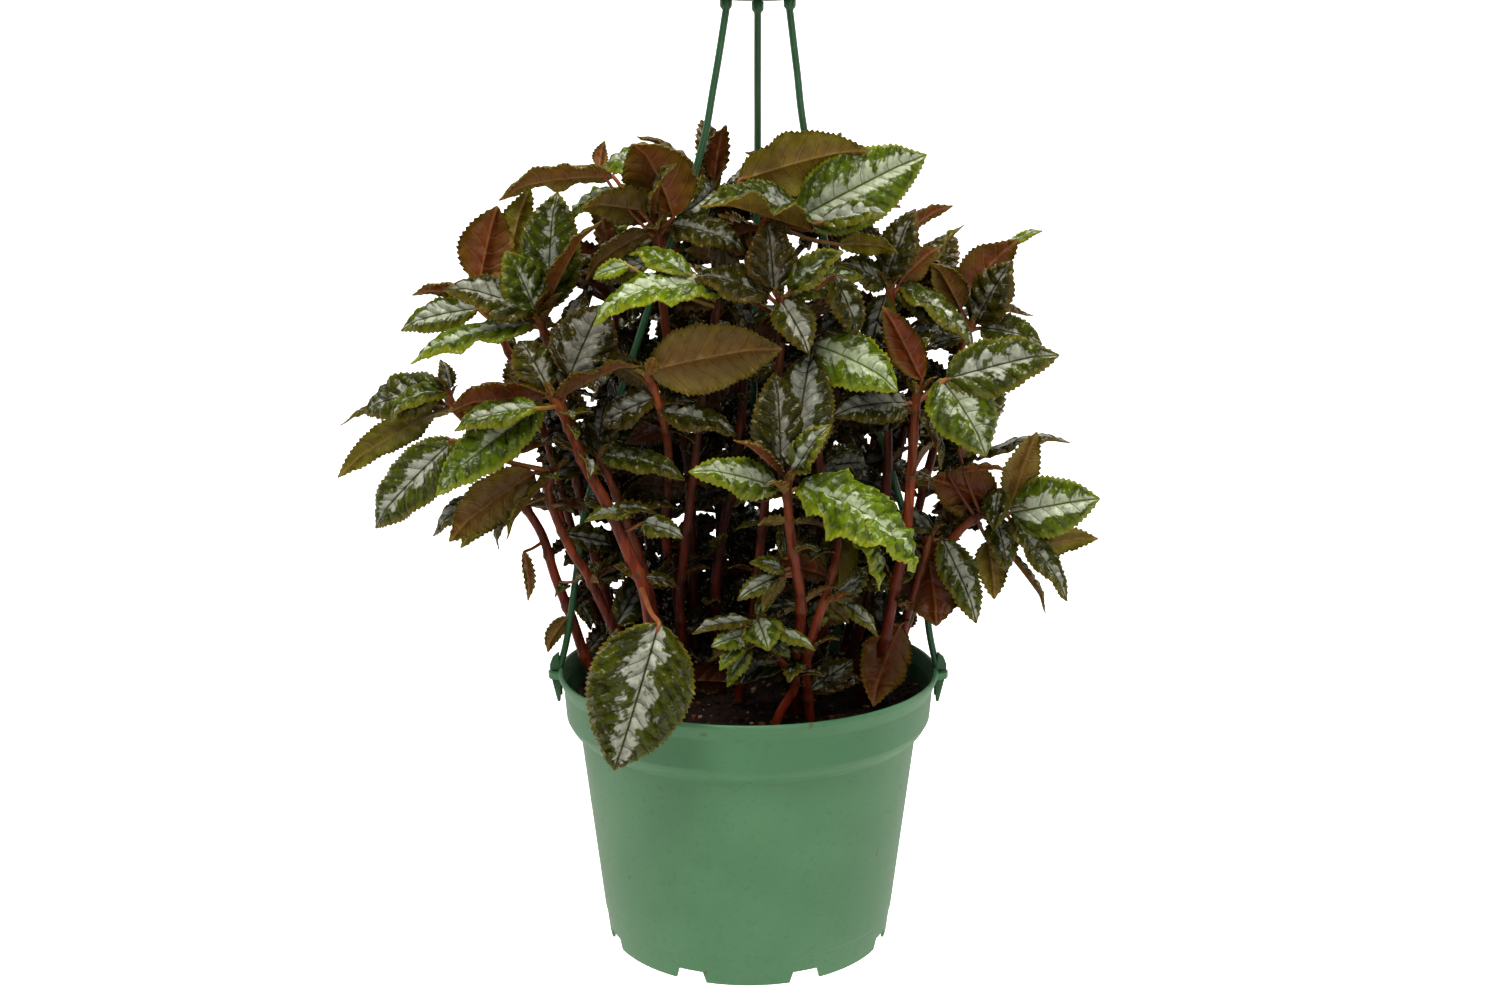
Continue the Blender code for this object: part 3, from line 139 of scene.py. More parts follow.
# Leafy stems that the photo shows. "stem" lists x, z, depth from the soil up, after the root's x and depth.
# Each leaf: base x, z; tip x, z; how far the tip lies behind the base; width; facing (0 shows the upper side,
# 90 turns it up, 180 shows the underside); arch over its length; fold of each half; all angles in degrees.
# A tenth value brings a leaf's base nearer than its stem.
SHOOTS = {
    "crown_centre": dict(
        root=(-13, 2), thick=2.5,
        stem=[(-14, 160, -2), (-5, 210, -6), (-2, 245, -10), (-3, 275, -12), (2, 300, -14), (10, 317, -15)],
        leaves=[
            (-4, 329, 50, 343, 14, 27, 158, 24, 6),
            (20, 313, 75, 341, 4, 33, 10, 18, 6),
            (27, 309, -19, 322, -14, 38, 74, 6, 46, 10),
            (14, 319, 26, 335, 6, 12, 30, 20, 20),
            (38, 303, 63, 301, -4, 12, 140, 25, 10),
            (31, 312, 58, 317, -6, 17, 56, 14, 14, 8),
        ],
    ),
    "crown_left": dict(
        root=(-24, 14), thick=2.6,
        stem=[(-24, 150, 12), (-25, 200, 8), (-29, 230, 4), (-34, 262, 0), (-37, 290, -4), (-38, 311, -6)],
        leaves=[
            (-56, 331, -105, 324, -4, 20, 118, 22, 18),
            (-31, 314, -47, 346, -12, 34, 150, 46, 14),
            (-37, 316, -70, 320, -12, 22, 138, 12, 16),
            (-46, 322, -88, 309, -2, 25, 62, 58, 8),
            (-42, 308, -70, 289, -8, 15, 128, 30, 12),
            (-33, 311, 0, 301, -10, 20, 45, 26, 14),
            (-40, 314, -29, 346, 10, 18, 96, 20, 20),
            (-62, 334, -60, 345, 4, 7, 150, 10, 10),
            (-37, 333, -61, 336, 4, 20, 48, 50, 12, -6),
        ],
    ),
    "left_upper": dict(
        root=(-42, 14), thick=2.6,
        stem=[(-58, 140, 8), (-68, 175, 2), (-74, 205, -2), (-79, 235, -6), (-83, 255, -9), (-88, 271, -11)],
        leaves=[
            (-88, 272, -64, 315, -8, 19, 102, 8, 32),
            (-84, 276, -80, 326, 8, 28, 14, 34, 12),
            (-90, 274, -128, 286, -10, 22, 44, 28, 10),
            (-91, 269, -145, 256, -6, 23, 66, 16, 10),
            (-89, 273, -101, 301, 8, 22, 24, 12, 12),
            (-86, 272, -79, 284, -6, 9, 120, 14, 20),
        ],
    ),
    "left_outer": dict(
        root=(-55, 22), thick=2.2,
        stem=[(-66, 140, 22), (-74, 172, 20), (-83, 208, 18), (-89, 228, 16), (-97, 247, 14),
              (-109, 274, 12)],
        leaves=[
            (-113, 287, -105, 319, 2, 25, 168, 10, 8),
            (-116, 283, -141, 283.5, 6, 10, 125, 10, 18),
            (-114, 276, -148, 268, -4, 18, 38, 26, 10),
            (-104, 277, -92, 327, 10, 22, 160, 24, 10),
        ],
    ),
    "left_tip": dict(
        root=(-60, 4), thick=2.6,
        stem=[(-70, 120, 2), (-77, 141, 0), (-84, 160, -2), (-89, 178, -4), (-97, 192, -4), (-112, 216, -4),
              (-128, 238, -4)],
        leaves=[
            (-128, 240, -154, 229, -10, 15, 58, 74, 14),
            (-129, 242, -166, 233, 8, 24, 36, 20, 10),
            (-136, 237, -175.5, 229.5, 0, 11, 76, 8, 18),
            (-134, 232, -177, 206, -2, 17, 146, 16, 12),
            (-127, 242, -130, 255, 4, 9, 30, 10, 24),
            (-129, 236, -152, 231, -6, 13, 130, 20, 20),
            (-97, 171, -95, 149, -4, 7, 150, 18, 30),
            (-79, 142, -89, 126, -6, 10, 140, 30, 20),
            (-78, 156, -85, 151, -6, 8, 60, 20, 20),
            (-75, 150, -68, 136, -12, 9, 30, 20, 26),
            (-76, 158, -60, 166, -8, 7, 60, 20, 20),
        ],
    ),
    "left_low": dict(
        root=(-48, -8), thick=2.5,
        stem=[(-57, 132, -14), (-64, 148, -16), (-70, 161, -18), (-78, 174, -20), (-86, 196, -24),
              (-83, 208, -27)],
        leaves=[
            (-126, 220, -164, 181, 6, 25, 26, 18, 10),
            (-92, 206, -131, 177, -10, 25, 146, 14, 10),
            (-100, 204, -139, 179, -2, 13, 40, 22, 14),
            (-106, 190, -125, 174, 4, 11, 146, 16, 12),
            (-84, 206, -107, 178, -16, 14, 98, 8, 24),
            (-100, 196, -111, 172, 8, 8, 60, 14, 20),
        ],
    ),
    "left_front": dict(
        root=(-38, -30), thick=3.0,
        stem=[(-44, 148, -42), (-51, 168, -44), (-60, 190, -44), (-70, 209, -42), (-79, 232, -38),
              (-83, 238, -37)],
        leaves=[
            (-83, 237, -46, 255, -8, 17, 108, 12, 26),
            (-86, 239, -128, 235, 4, 23, 122, 10, 14),
            (-87, 235, -137, 197, -6, 25, 32, 14, 12),
            (-90, 234, -127, 226, 12, 17, 50, 18, 10),
            (-76, 247, -61, 279, 14, 28, 10, 20, 8),
            (-85, 242, -97, 264, 14, 20, 20, 20, 12),
            (-80, 244, -70, 286, 26, 17, 32, 10, 16),
            (-39, 139, -60, 69, -8, 41, -4, 22, 4),
            (-50, 187, -71, 186, -8, 10, 60, 24, 16),
            (-46, 184, -28, 178, -6, 12, 36, 16, 12),
        ],
    ),
    "inner_left": dict(
        root=(-34, -14), thick=2.4,
        stem=[(-42, 148, -22), (-48, 172, -26), (-56, 194, -28), (-64, 213, -30)],
        leaves=[
            (-63, 213, -27, 205, -14, 16, 48, 22, 14),
            (-66, 215, -88, 222, 6, 15, 60, 20, 12),
            (-64, 214, -60, 240, 10, 17, 30, 20, 12),
            (-52, 190, -30, 192, 8, 12, 70, 20, 12),
        ],
    ),
    "arching": dict(
        root=(-26, -6), thick=2.3,
        stem=[(-30, 148, -12), (-24, 200, -22), (-20, 235, -28), (-16, 262, -32), (-12, 280, -34)],
        leaves=[
            (-10, 283, -68, 272, -12, 25, 60, 62, 10),
            (-24, 290, -50, 301, 12, 16, 56, 20, 12),
            (-50, 294, -66, 289, 2, 9, 30, 30, 20),
            (-12, 281, 4, 266, 10, 16, 60, 24, 12),
        ],
    ),
    "tan_leaf": dict(
        root=(-30, 2), thick=2.4,
        stem=[(-31, 150, -6), (-36, 176, -14), (-34, 212, -28), (-38, 236, -40), (-43, 248, -46)],
        leaves=[
            (-43, 250, 15, 261, -6, 30, 158, 12, 8),
            (-38, 232, -4, 224, -4, 18, 50, 20, 12),
            (-40, 238, -64, 226, 6, 18, 40, 24, 12),
        ],
    ),
    "centre_star": dict(
        root=(-4, -8), thick=2.4,
        stem=[(2, 140, -14), (5, 170, -20), (8, 200, -26), (12, 240, -34), (14, 262, -38), (14, 280, -42)],
        leaves=[
            (11, 283, 8, 313, 4, 21, 14, 16, 12),
            (17, 283, 39, 301, -6, 17, 40, 16, 22),
            (14, 279, 26, 258, -14, 18, 20, 30, 14),
            (9, 281, -24, 291, 4, 19, 44, 24, 12),
            (18, 280, 49, 292, 14, 18, 50, 24, 12),
            (36, 290, 47, 264, 6, 15, 24, 30, 12),
        ],
    ),
    "front_crown": dict(
        root=(20, -26), thick=2.7,
        stem=[(22, 122, -40), (23, 148, -52), (21, 162, -57), (18, 181, -61), (17, 194, -62), (17, 203, -62)],
        leaves=[
            (14, 208, 12, 250, 10, 23, 18, 10, 8),
            (19, 208, 27, 261, 14, 27, 6, 14, 6),
            (20, 206, 34, 227, -8, 16, 36, 12, 26),
            (15, 205, -5, 222, -8, 12, 104, 6, 30),
            (13, 199, -25, 208, -10, 19, 36, 22, 10),
            (21, 199, 76, 163, -14, 31, 44, 62, 10),
            (21, 196, 61, 155, -20, 25, 80, 50, 14),
            (16, 163, 1, 167, -6, 9, 40, 20, 14),
            (13, 160, -5, 150, -8, 10, 24, 24, 12),
            (16, 168, 14, 184, 2, 7, 20, 10, 24),
            (16, 160, 5, 145, -4, 9, 130, 16, 14),
        ],
    ),
    "green_right": dict(
        root=(27, -6), thick=2.3,
        stem=[(35, 150, -10), (33, 190, -18), (29, 225, -26), (26, 250, -32), (25, 260, -34)],
        leaves=[
            (27, 261, 65, 242, -10, 27, 30, 36, 8),
            (24, 258, 2, 240, 10, 18, 40, 22, 12),
            (30, 246, 37, 222, -4, 16, 150, 18, 10),
            (27, 262, 46, 276, 14, 16, 50, 20, 12),
        ],
    ),
    "right_whorl": dict(
        root=(50, -12), thick=2.8,
        stem=[(59, 128, -20), (63, 150, -24), (68, 176, -26), (70, 205, -28), (71, 228, -30), (72, 240, -30)],
        leaves=[
            (68, 236, 36, 232, -8, 22, 40, 22, 10),
            (74, 246, 57, 278, 0, 15, 166, 10, 8),
            (82, 246, 103, 213, -18, 29, 18, 48, 8),
            (84, 246, 132, 258, -6, 26, 24, 14, 10),
            (76, 241, 97, 236, -12, 12, 56, 16, 14),
            (73, 232, 85, 208, -8, 12, 74, 10, 24),
            (68, 234, 50, 224, 10, 16, 50, 20, 12),
            (66, 138, 54, 101, -8, 23, 158, 22, 10),
        ],
    ),
    "right_upper": dict(
        root=(40, 6), thick=2.5,
        stem=[(50, 140, 2), (57, 175, -2), (60, 210, -6), (59, 240, -9), (60, 264, -11), (60, 285, -12)],
        leaves=[
            (58, 288, 69, 318, -2, 19, 20, 14, 12),
            (62, 306, 84, 320, 8, 10, 130, 10, 16),
            (64, 285, 98, 260, -8, 19, 60, 26, 12),
            (62, 284, 92, 268, 8, 18, 40, 20, 10),
            (58, 286, 38, 296, -6, 17, 44, 22, 12),
            (64, 288, 79, 302, 8, 14, 150, 14, 12),
            (58, 282, 52, 258, 0, 16, 30, 22, 12),
        ],
    ),
    "right_top": dict(
        root=(48, 24), thick=2.4,
        stem=[(60, 140, 22), (70, 175, 20), (79, 214, 18), (86, 236, 16), (89, 256, 14), (95, 270, 12)],
        leaves=[
            (88, 278, 112, 306, -2, 25, 150, 8, 14),
            (108, 302, 123, 309.5, 2, 6, 40, 16, 20),
            (96, 270, 110, 296, -12, 22, 22, 14, 12),
            (98, 268, 125, 262, -8, 20, 36, 24, 10),
            (90, 276, 78, 296, 8, 18, 140, 14, 10),
        ],
    ),
    "right_shoot": dict(
        root=(54, 6), thick=2.5,
        stem=[(66, 130, 2), (74, 152, -2), (84, 170, -4), (93, 182, -6), (102, 188, -7), (110, 190, -8)],
        leaves=[
            (113, 188, 152, 195, -6, 27, 8, 14, 8),
            (113, 186, 141, 150, -14, 17, 40, 10, 22),
            (122, 173, 151, 178, 4, 14, 150, 16, 12),
            (112, 172, 132, 145, -4, 12, 92, 6, 28),
            (107, 186, 113, 162, -12, 15, 22, 24, 10),
            (104, 176, 108, 150, -2, 15, 160, 12, 8),
            (113, 191, 123, 224, 2, 16, 166, 8, 10),
            (107, 193, 78, 204, -2, 25, 166, 10, 8),
            (108, 199, 106, 181, -12, 13, 10, 20, 12),
            (86, 206, 114, 208, -6, 10, 100, 6, 22),
            (90, 215, 100, 222, 8, 11, 140, 10, 10),
        ],
    ),
    "right_low": dict(
        root=(58, -6), thick=2.4,
        stem=[(65, 124, -8), (70, 145, -10), (76, 166, -11), (79, 178, -12)],
        leaves=[
            (77, 178, 83, 138, -4, 35, 168, 10, 8),
            (84, 177, 101, 139, -14, 18, 22, 18, 14),
            (80, 180, 64, 190, 6, 13, 50, 20, 12),
        ],
    ),
    "front_low": dict(
        root=(12, -40), thick=2.3,
        stem=[(21, 112, -44), (12, 124, -50), (4, 136, -54)],
        leaves=[
            (1, 140, -25, 136, -4, 10, 56, 12, 16),
            (4, 141, 9, 127, -12, 17, 8, 20, 10),
            (0, 134, -16, 129, -8, 11, 20, 18, 12),
            (-1, 132, -13, 118, -8, 9, 24, 18, 14),
            (1, 128, -10, 110, -4, 9, 26, 16, 16),
            (4, 142, 14, 159, 4, 9, 40, 14, 16),
            (8, 136, 30, 128, -6, 9, 50, 18, 14),
            (8, 132, 19, 124, -2, 8, 30, 16, 14),
        ],
    ),
    "low_right": dict(
        root=(26, -34), thick=2.4,
        stem=[(25, 118, -36), (29, 136, -38), (34, 152, -40), (38, 168, -42), (39, 180, -43)],
        leaves=[
            (38, 181, 40, 154, -8, 18, 162, 12, 10),
            (38, 150, 58, 134, -6, 10, 50, 20, 14),
            (33, 150, 28, 134, -8, 12, 30, 20, 12),
            (34, 148, 44, 140, 6, 10, 150, 16, 12),
            (28, 140, 18, 150, -4, 11, 40, 16, 14),
            (40, 180, 54, 190, 4, 12, 50, 16, 14),
        ],
    ),
}

# Stems at the back and inside, which the photo hides: the place of the top, and how long its leaves are.
HIDDEN_TOPS = {
    "back_a": ((-62, 52, 292), 46), "back_b": ((-16, 62, 326), 50), "back_c": ((34, 58, 320), 50),
    "back_d": ((80, 50, 282), 46), "back_e": ((-100, 48, 236), 44), "back_f": ((-58, 92, 242), 48),
    "back_g": ((2, 104, 262), 52), "back_h": ((64, 90, 232), 48), "back_i": ((106, 52, 220), 44),
    "inner_a": ((-14, 34, 258), 42), "inner_b": ((38, 26, 232), 40), "inner_c": ((-52, 44, 190), 38),
}
HIDDEN_PAIRS = 3
HIDDEN_SPREAD = (16.0, 42.0, 66.0)  # how far each pair stands up from level, lowest first
HIDDEN_LENGTH = (1.0, 0.92, 0.6)
HIDDEN_STEP = 9.0  # between pairs along the stem
HIDDEN_THICK = 2.2
HIDDEN_TEETH = (2, 2, 1)

# The strands' lines from the ear up to the hub, as the photo shows them, and the hidden one by their like.
STRANDS = {
    "strand_left": dict(ear=0, mid=[(-79, 134, 0), (-73, 172, 0), (-68, 198, 0), (-44, 270, 0), (-21, 336, 0),
                                    (-14, 368, 0)], top=(-1, 0)),
    "strand_right": dict(ear=1, mid=[(79.5, 134, 0), (76, 158, 0), (72, 174, 0), (66, 192, 0), (60, 212, 0),
                                     (38, 280, 0), (24, 345, 0), (20, 374, 0)], top=(1, 0)),
    "strand_back": dict(ear=2, mid=[(1, 140, 79), (2, 200, 66), (3, 270, 46), (4, 335, 26), (4, 372, 17)],
                        top=(0, 1)),
}
STOP_TOP = 127.0
BARB_TIP = 104.5
BARB_THICK, STOP_THICK = 2.6, 2.6

HANGING_LEAF, HANGING_DEPTH = 7, -90.0

# Tries to set a leaf or a stem clear of its neighbours, in the order of trying. A leaf's are slides in depth
# of its base and its tip, and a stem's are a bow in depth and a shift to the side.
LEAF_SLIDES = ((0, -7), (0, 7), (-3, -4), (3, 4), (-4, -12), (4, 12), (-8, -8), (8, 8), (0, -16), (0, 16),
               (-8, -18), (8, 18), (-6, -25), (6, 25), (0, 32), (0, -32))
SMALLER_SIZES = (0.86, 0.72, 0.58)
SMALLER_SLIDES = ((0, 0), (0, -9), (0, 9), (0, -20), (0, 20), (5, 30), (-5, -30))
STEM_SHIFTS = ((0, 0), (6, 0), (-6, 0), (12, 0), (-12, 0), (0, 4), (0, -4), (8, 4), (-8, -4), (18, 0),
               (14, 6), (-14, -6), (24, 0), (-18, 0))

ROOT_PLACES = [
    (-34, 40), (-10, 50), (16, 48), (42, 42), (-52, 34), (-26, 60), (2, 68), (30, 62), (58, 30),
    (-12, 28), (18, 24), (-38, 24), (34, 26), (4, 38),
]


def in_row(place):
    """A working place in millimetres as a place in metres from the hook's bearing point."""
    return (Vector(place) - Vector((HUB_X, 0.0, HANG_HEIGHT))) * MM


def linked(name, data):
    """An object of some data, in the scene."""
    ob = bpy.data.objects.new(name, data)
    bpy.context.scene.collection.objects.link(ob)
    return ob


def sight(x, z, depth):
    """The point at a depth that the photo shows at x, z of the upright plane."""
    k = (depth - EYE.y) / -EYE.y
    return Vector((EYE.x + (x - EYE.x) * k, depth, EYE.z + (z - EYE.z) * k))


def towards_eye(point):
    """The direction from a point to where the photo was taken."""
    return (EYE - point).normalized()


def prism_faces(n):
    """Faces of a prism whose points are its first end, n of them, and then its other end."""
    faces = [tuple(reversed(range(n))), tuple(range(n, 2 * n))]
    return faces + [(i, (i + 1) % n, n + (i + 1) % n, n + i) for i in range(n)]


def prism(outline, low, high):
    """Points and faces of an upright prism over a level outline that runs anticlockwise."""
    return [(x, y, z) for z in (low, high) for x, y in outline], prism_faces(len(outline))


def tube(path, radii, sides, start=0.0):
    """Points and faces of a capped tube that keeps its facets in line along a bent path."""
    points, faces = [], []
    across = Vector((0, 1, 0))
    for i, here in enumerate(path):
        before, after = path[max(i - 1, 0)], path[min(i + 1, len(path) - 1)]
        along = (after - before).normalized()
        across = (across - along * across.dot(along)).normalized()
        other = along.cross(across)
        for k in range(sides):
            turn = start + math.tau * k / sides
            points.append(here + (across * math.cos(turn) + other * math.sin(turn)) * radii[i])
    for i in range(len(path) - 1):
        for k in range(sides):
            a, b = i * sides + k, i * sides + (k + 1) % sides
            faces.append((a, b, b + sides, a + sides))
    last = (len(path) - 1) * sides
    faces.append(tuple(reversed(range(sides))))
    faces.append(tuple(range(last, last + sides)))
    return points, faces


def ear_place(angle, radius):
    """A level point at a radius, the angle taken from the front."""
    return Vector((math.sin(math.radians(angle)) * radius, -math.cos(math.radians(angle)) * radius, 0))


def wall_radius(z):
    """The pot's outer radius on its plain wall."""
    k = (z - SEAM_HEIGHT) / (WALL_TOP - SEAM_HEIGHT)
    return SEAM_RADIUS + (WALL_TOP_RADIUS - SEAM_RADIUS) * k


def pot_profile():
    """The pot's section, radius and height, down the outside and up the inside."""
    outer = [
        (RIM_RADIUS - LIP_ROUND, RIM_HEIGHT), (RIM_RADIUS, RIM_HEIGHT - LIP_DROP), *RIM_OUTSIDE,
        (WALL_TOP_RADIUS, WALL_TOP), (SEAM_RADIUS + 0.1, SEAM_HEIGHT), (SEAM_RADIUS - 0.3, SEAM_HEIGHT - 0.5),
        (FOOT_RADIUS, 0.0),
    ]
    inner = [
        (FOOT_RADIUS - WALL, 0.0), (FOOT_RADIUS - WALL + 0.5, FLOOR_LOW), (MIDDLE_HOLE, FLOOR_LOW),
        (MIDDLE_HOLE, FLOOR_HIGH), (wall_radius(FLOOR_HIGH) - WALL, FLOOR_HIGH),
        (WALL_TOP_RADIUS - WALL, WALL_TOP), *RIM_INSIDE, (RIM_RADIUS - LIP_THICK, RIM_HEIGHT),
    ]
    return outer + inner


def ear_prism(angle):
    """An ear: a flat tab with a round end, level under the rim's top."""
    half = EAR_WIDTH / 2
    out = ear_place(angle, 1.0)
    side = Vector((-out.y, out.x, 0))
    flat = EAR_END - half * EAR_ROUND
    outline = [(EAR_START, -half - EAR_FLARE), (flat, -half)]
    outline += [(flat + half * EAR_ROUND * math.sin(math.pi * k / 4), -half * math.cos(math.pi * k / 4))
                for k in (1, 2, 3)]
    outline += [(flat, half), (EAR_START, half + EAR_FLARE)]
    places = [out * r + side * s for r, s in outline]
    return prism([(p.x, p.y) for p in places], EAR_LOW, EAR_HIGH)


def radial_prism(outline, angle, thick):
    """A flat piece that stands in the radial plane of an ear: outline of radius and height."""
    out = ear_place(angle, 1.0)
    side = Vector((-out.y, out.x, 0)) * (thick / 2)
    points = [out * r + way + Vector((0, 0, z)) for way in (-side, side) for r, z in outline]
    return points, prism_faces(len(outline))


def strand_path(spec):
    """A strand's middle line between its stop and its collar, in space."""
    foot = ear_place(EAR_ANGLES[spec["ear"]], EAR_HOLE_CENTRE)
    head = Vector((HUB_X + spec["top"][0] * STRAND_TOP_RADIUS, spec["top"][1] * STRAND_TOP_RADIUS, 0))
    line = [foot + Vector((0, 0, EAR_HIGH + GAP))]
    line += [Vector((x, y, z)) if spec["ear"] == 2 else sight(x, z, y) for x, z, y in spec["mid"]]
    line.append(head + Vector((0, 0, HUB_LOW - GAP - 5.0)))
    return line


def strand_tube(spec):
    """A strand's round run: neck through the ear, long rod, collar, neck through the hub, and head."""
    angle = EAR_ANGLES[spec["ear"]]
    line = strand_path(spec)
    foot, head = ear_place(angle, EAR_HOLE_CENTRE), line[-1]
    up = Vector((0, 0, 1))
    path = [foot + up * (BARB_TIP + 3), foot + up * (EAR_HIGH + GAP)]
    radii = [NECK_RADIUS, NECK_RADIUS]
    path += [foot + up * (EAR_HIGH + GAP + 0.02)] + line[1:-1]
    radii += [STRAND_RADIUS] * (len(line) - 1)
    path += [Vector((head.x, head.y, z)) for z in (
        HUB_LOW - GAP - 9.0, HUB_LOW - GAP - 4.0, HUB_LOW - GAP, HUB_LOW - GAP + 0.02, HUB_HIGH + GAP,
        HUB_HIGH + GAP + 0.02, HUB_HIGH + 2.6)]
    radii += [STRAND_RADIUS, COLLAR_RADIUS, COLLAR_RADIUS, NECK_RADIUS, NECK_RADIUS, COLLAR_RADIUS,
              COLLAR_RADIUS - 0.5]
    return tube(path, radii, STRAND_SIDES)


def strand_ends(angle):
    """A strand's flat pieces at the ear: the barb under it and the stop over it."""
    c, low, high = EAR_HOLE_CENTRE, EAR_LOW - GAP, EAR_HIGH + GAP
    barb = [(c - 1.1, low), (c + 3.4, low), (c + 0.9, BARB_TIP), (c - 0.3, BARB_TIP)]
    stop = [(c - 0.6, high), (c + 4.0, high), (c + 4.0, 121.4), (c + 2.8, 124.6), (c, STOP_TOP)]
    return radial_prism(barb, angle, BARB_THICK), radial_prism(stop, angle, STOP_THICK)


def half_width(t):
    """Half the blade's width along its length, as a share of the widest half."""
    if t < WIDEST:
        return (1 - (1 - t / WIDEST) ** 2) ** 0.62
    return math.cos((t - WIDEST) / (1 - WIDEST) * math.pi / 2) ** 0.86


def bend_clear_choices(leaf):
    """Ways to set a leaf a little aside, the smallest change first. Depth changes don't show in the photo."""
    yield leaf
    for base, tip in LEAF_SLIDES:
        yield dict(leaf, base=slide(leaf["base"], base), tip=slide(leaf["tip"], tip))
    for size in SMALLER_SIZES:
        tip_at, width = leaf["base"].lerp(leaf["tip"], size), leaf["width"] * size
        for base, tip in SMALLER_SLIDES:
            yield dict(leaf, base=slide(leaf["base"], base), tip=slide(tip_at, tip), width=width)


def slide(point, depth):
    """A point moved along its line of sight by a depth."""
    ray = point - EYE
    return point + ray * (depth / ray.y)


def facing_normal(base, tip, face):
    """The upper side's direction: 0 faces the eye, 90 faces up, 180 turns the underside to the eye."""
    along = (tip - base).normalized()
    eye = towards_eye((base + tip) / 2)
    front = (eye - along * eye.dot(along)).normalized()
    up = along.cross(front)
    if up.z < 0 or (abs(up.z) < 0.08 and up.x < 0):
        up = -up
    turn = math.radians(face)
    return (front * math.cos(turn) + up * math.sin(turn)).normalized()


def midrib(leaf, t):
    """A point on the midrib, its forward direction and the upper side's direction there."""
    along = leaf["tip"] - leaf["base"]
    length = along.length
    along = along / length
    normal = (leaf["normal"] - along * leaf["normal"].dot(along)).normalized()
    bend = math.radians(leaf["arch"])
    if abs(bend) < 0.02:
        return leaf["base"] + along * (length * t), along, normal
    radius = length / (2 * math.sin(bend / 2))
    turn = bend * (t - 0.5)
    rise = radius * (math.cos(turn) - math.cos(bend / 2))
    run = length / 2 + radius * math.sin(turn)
    point = leaf["base"] + along * run + normal * rise
    forward = along * math.cos(turn) - normal * math.sin(turn)
    upper = normal * math.cos(turn) + along * math.sin(turn)
    return point, forward, upper


def solid_teeth(leaf):
    """How many teeth a leaf's solid has on each side."""
    length = (leaf["tip"] - leaf["base"]).length
    teeth = 3 if length > LONG_LEAF else 2 if length > MIDDLE_LEAF else 1
    return min(teeth, leaf.get("teeth", teeth))


def tooth_place(k, teeth):
    """Where along a solid blade the k-th point of its edge lies."""
    return (k - 0.35) / (2 * teeth + 0.6)


def leaf_mesh(leaf, grow=0.0):
    """Points and faces of a closed toothed blade with its petiole: thick at the midrib, sharp at the edge."""
    teeth = solid_teeth(leaf)
    ribs = teeth if leaf["arch"] > SHARP_ARCH else min(teeth, 2)
    fold = math.radians(leaf["fold"])
    wave = random.Random(leaf["seed"])
    thick = BLADE_THICK / 2 + grow
    widest = leaf["width"] / 2

    def place(t, side, share, lift):
        point, forward, upper = midrib(leaf, t)
        across = upper.cross(forward) * side
        width = share * widest
        return point + across * width * math.cos(fold) + upper * (width * math.sin(fold) + lift)

    start, first = leaf["root"], leaf["base"]
    _, forward, upper = midrib(leaf, 0.0)
    run = (first - start).normalized() if (first - start).length > 0.01 else forward
    petiole_up = (upper - run * upper.dot(run)).normalized()
    petiole_side = petiole_up.cross(run)
    half = PETIOLE_HALF * leaf.get("petiole", 1.0) + grow
    points, top, low = [], [], []

    def add(point):
        points.append(point)
        return len(points) - 1

    sides = {1: [], -1: []}
    top.append((0.0, add(start + petiole_up * thick)))
    low.append((0.0, add(start - petiole_up * thick)))
    stalked = (first - start).length > STALK
    if stalked:
        top.append((BLADE_START, add(first + petiole_up * thick)))
        low.append((BLADE_START, add(first - petiole_up * thick)))
    for i in range(1, ribs):
        t = i / ribs
        point, _, upper_here = midrib(leaf, t)
        edge = min(1.0, 0.55 + half_width(t))
        top.append((BLADE_START + t * (1 - BLADE_START), add(point + upper_here * thick * edge)))
        low.append((BLADE_START + t * (1 - BLADE_START), add(point - upper_here * thick * edge)))
    tip = add(leaf["tip"] + forward * grow)
    top.append((1.0, tip))
    low.append((1.0, tip))
    for side in (1, -1):
        sides[side].append((0.0, add(start + petiole_side * side * half)))
        if stalked:
            sides[side].append((BLADE_START, add(first + petiole_side * side * half)))
        for k in range(1, 2 * teeth + 1):
            t = tooth_place(k, teeth)
            out = TOOTH if k % 2 == 0 else -TOOTH * 0.4
            share = half_width(t) + (out + grow) / widest
            lift = wave.uniform(-EDGE_LIFT, EDGE_LIFT) * widest
            sides[side].append((BLADE_START + t * (1 - BLADE_START), add(place(t, side, share, lift))))
        sides[side].append((1.0, tip))
    faces = []
    for side in (1, -1):
        for chain, flip in ((top, side < 0), (low, side > 0)):
            faces += zipper(chain, sides[side], flip)
    t0, l0, a0, b0 = top[0][1], low[0][1], sides[1][0][1], sides[-1][0][1]
    faces += [(t0, a0, b0), (l0, b0, a0)]
    return points, faces


def zipper(one, two, flip):
    """Triangles between two chains of (share of length, point) that start apart and meet at the end."""
    faces, i, j = [], 0, 0
    while i < len(one) - 1 or j < len(two) - 1:
        step_one = j == len(two) - 1 or (i < len(one) - 1 and one[i + 1][0] <= two[j + 1][0])
        if step_one:
            face = (one[i][1], one[i + 1][1], two[j][1])
            i += 1
        else:
            face = (one[i][1], two[j + 1][1], two[j][1])
            j += 1
        if len(set(face)) == 3:
            faces.append(tuple(reversed(face)) if flip else face)
    return faces


def stem_path(shoot):
    """A stem's middle line: straight down in its hole, then up through the places that the photo shows."""
    x, y = shoot["root"]
    line = [Vector((x, y, SOIL_TOP - ROOT_DEPTH)), Vector((x, y, SOIL_TOP + 1.5))]
    line += shoot["line"]
    return line


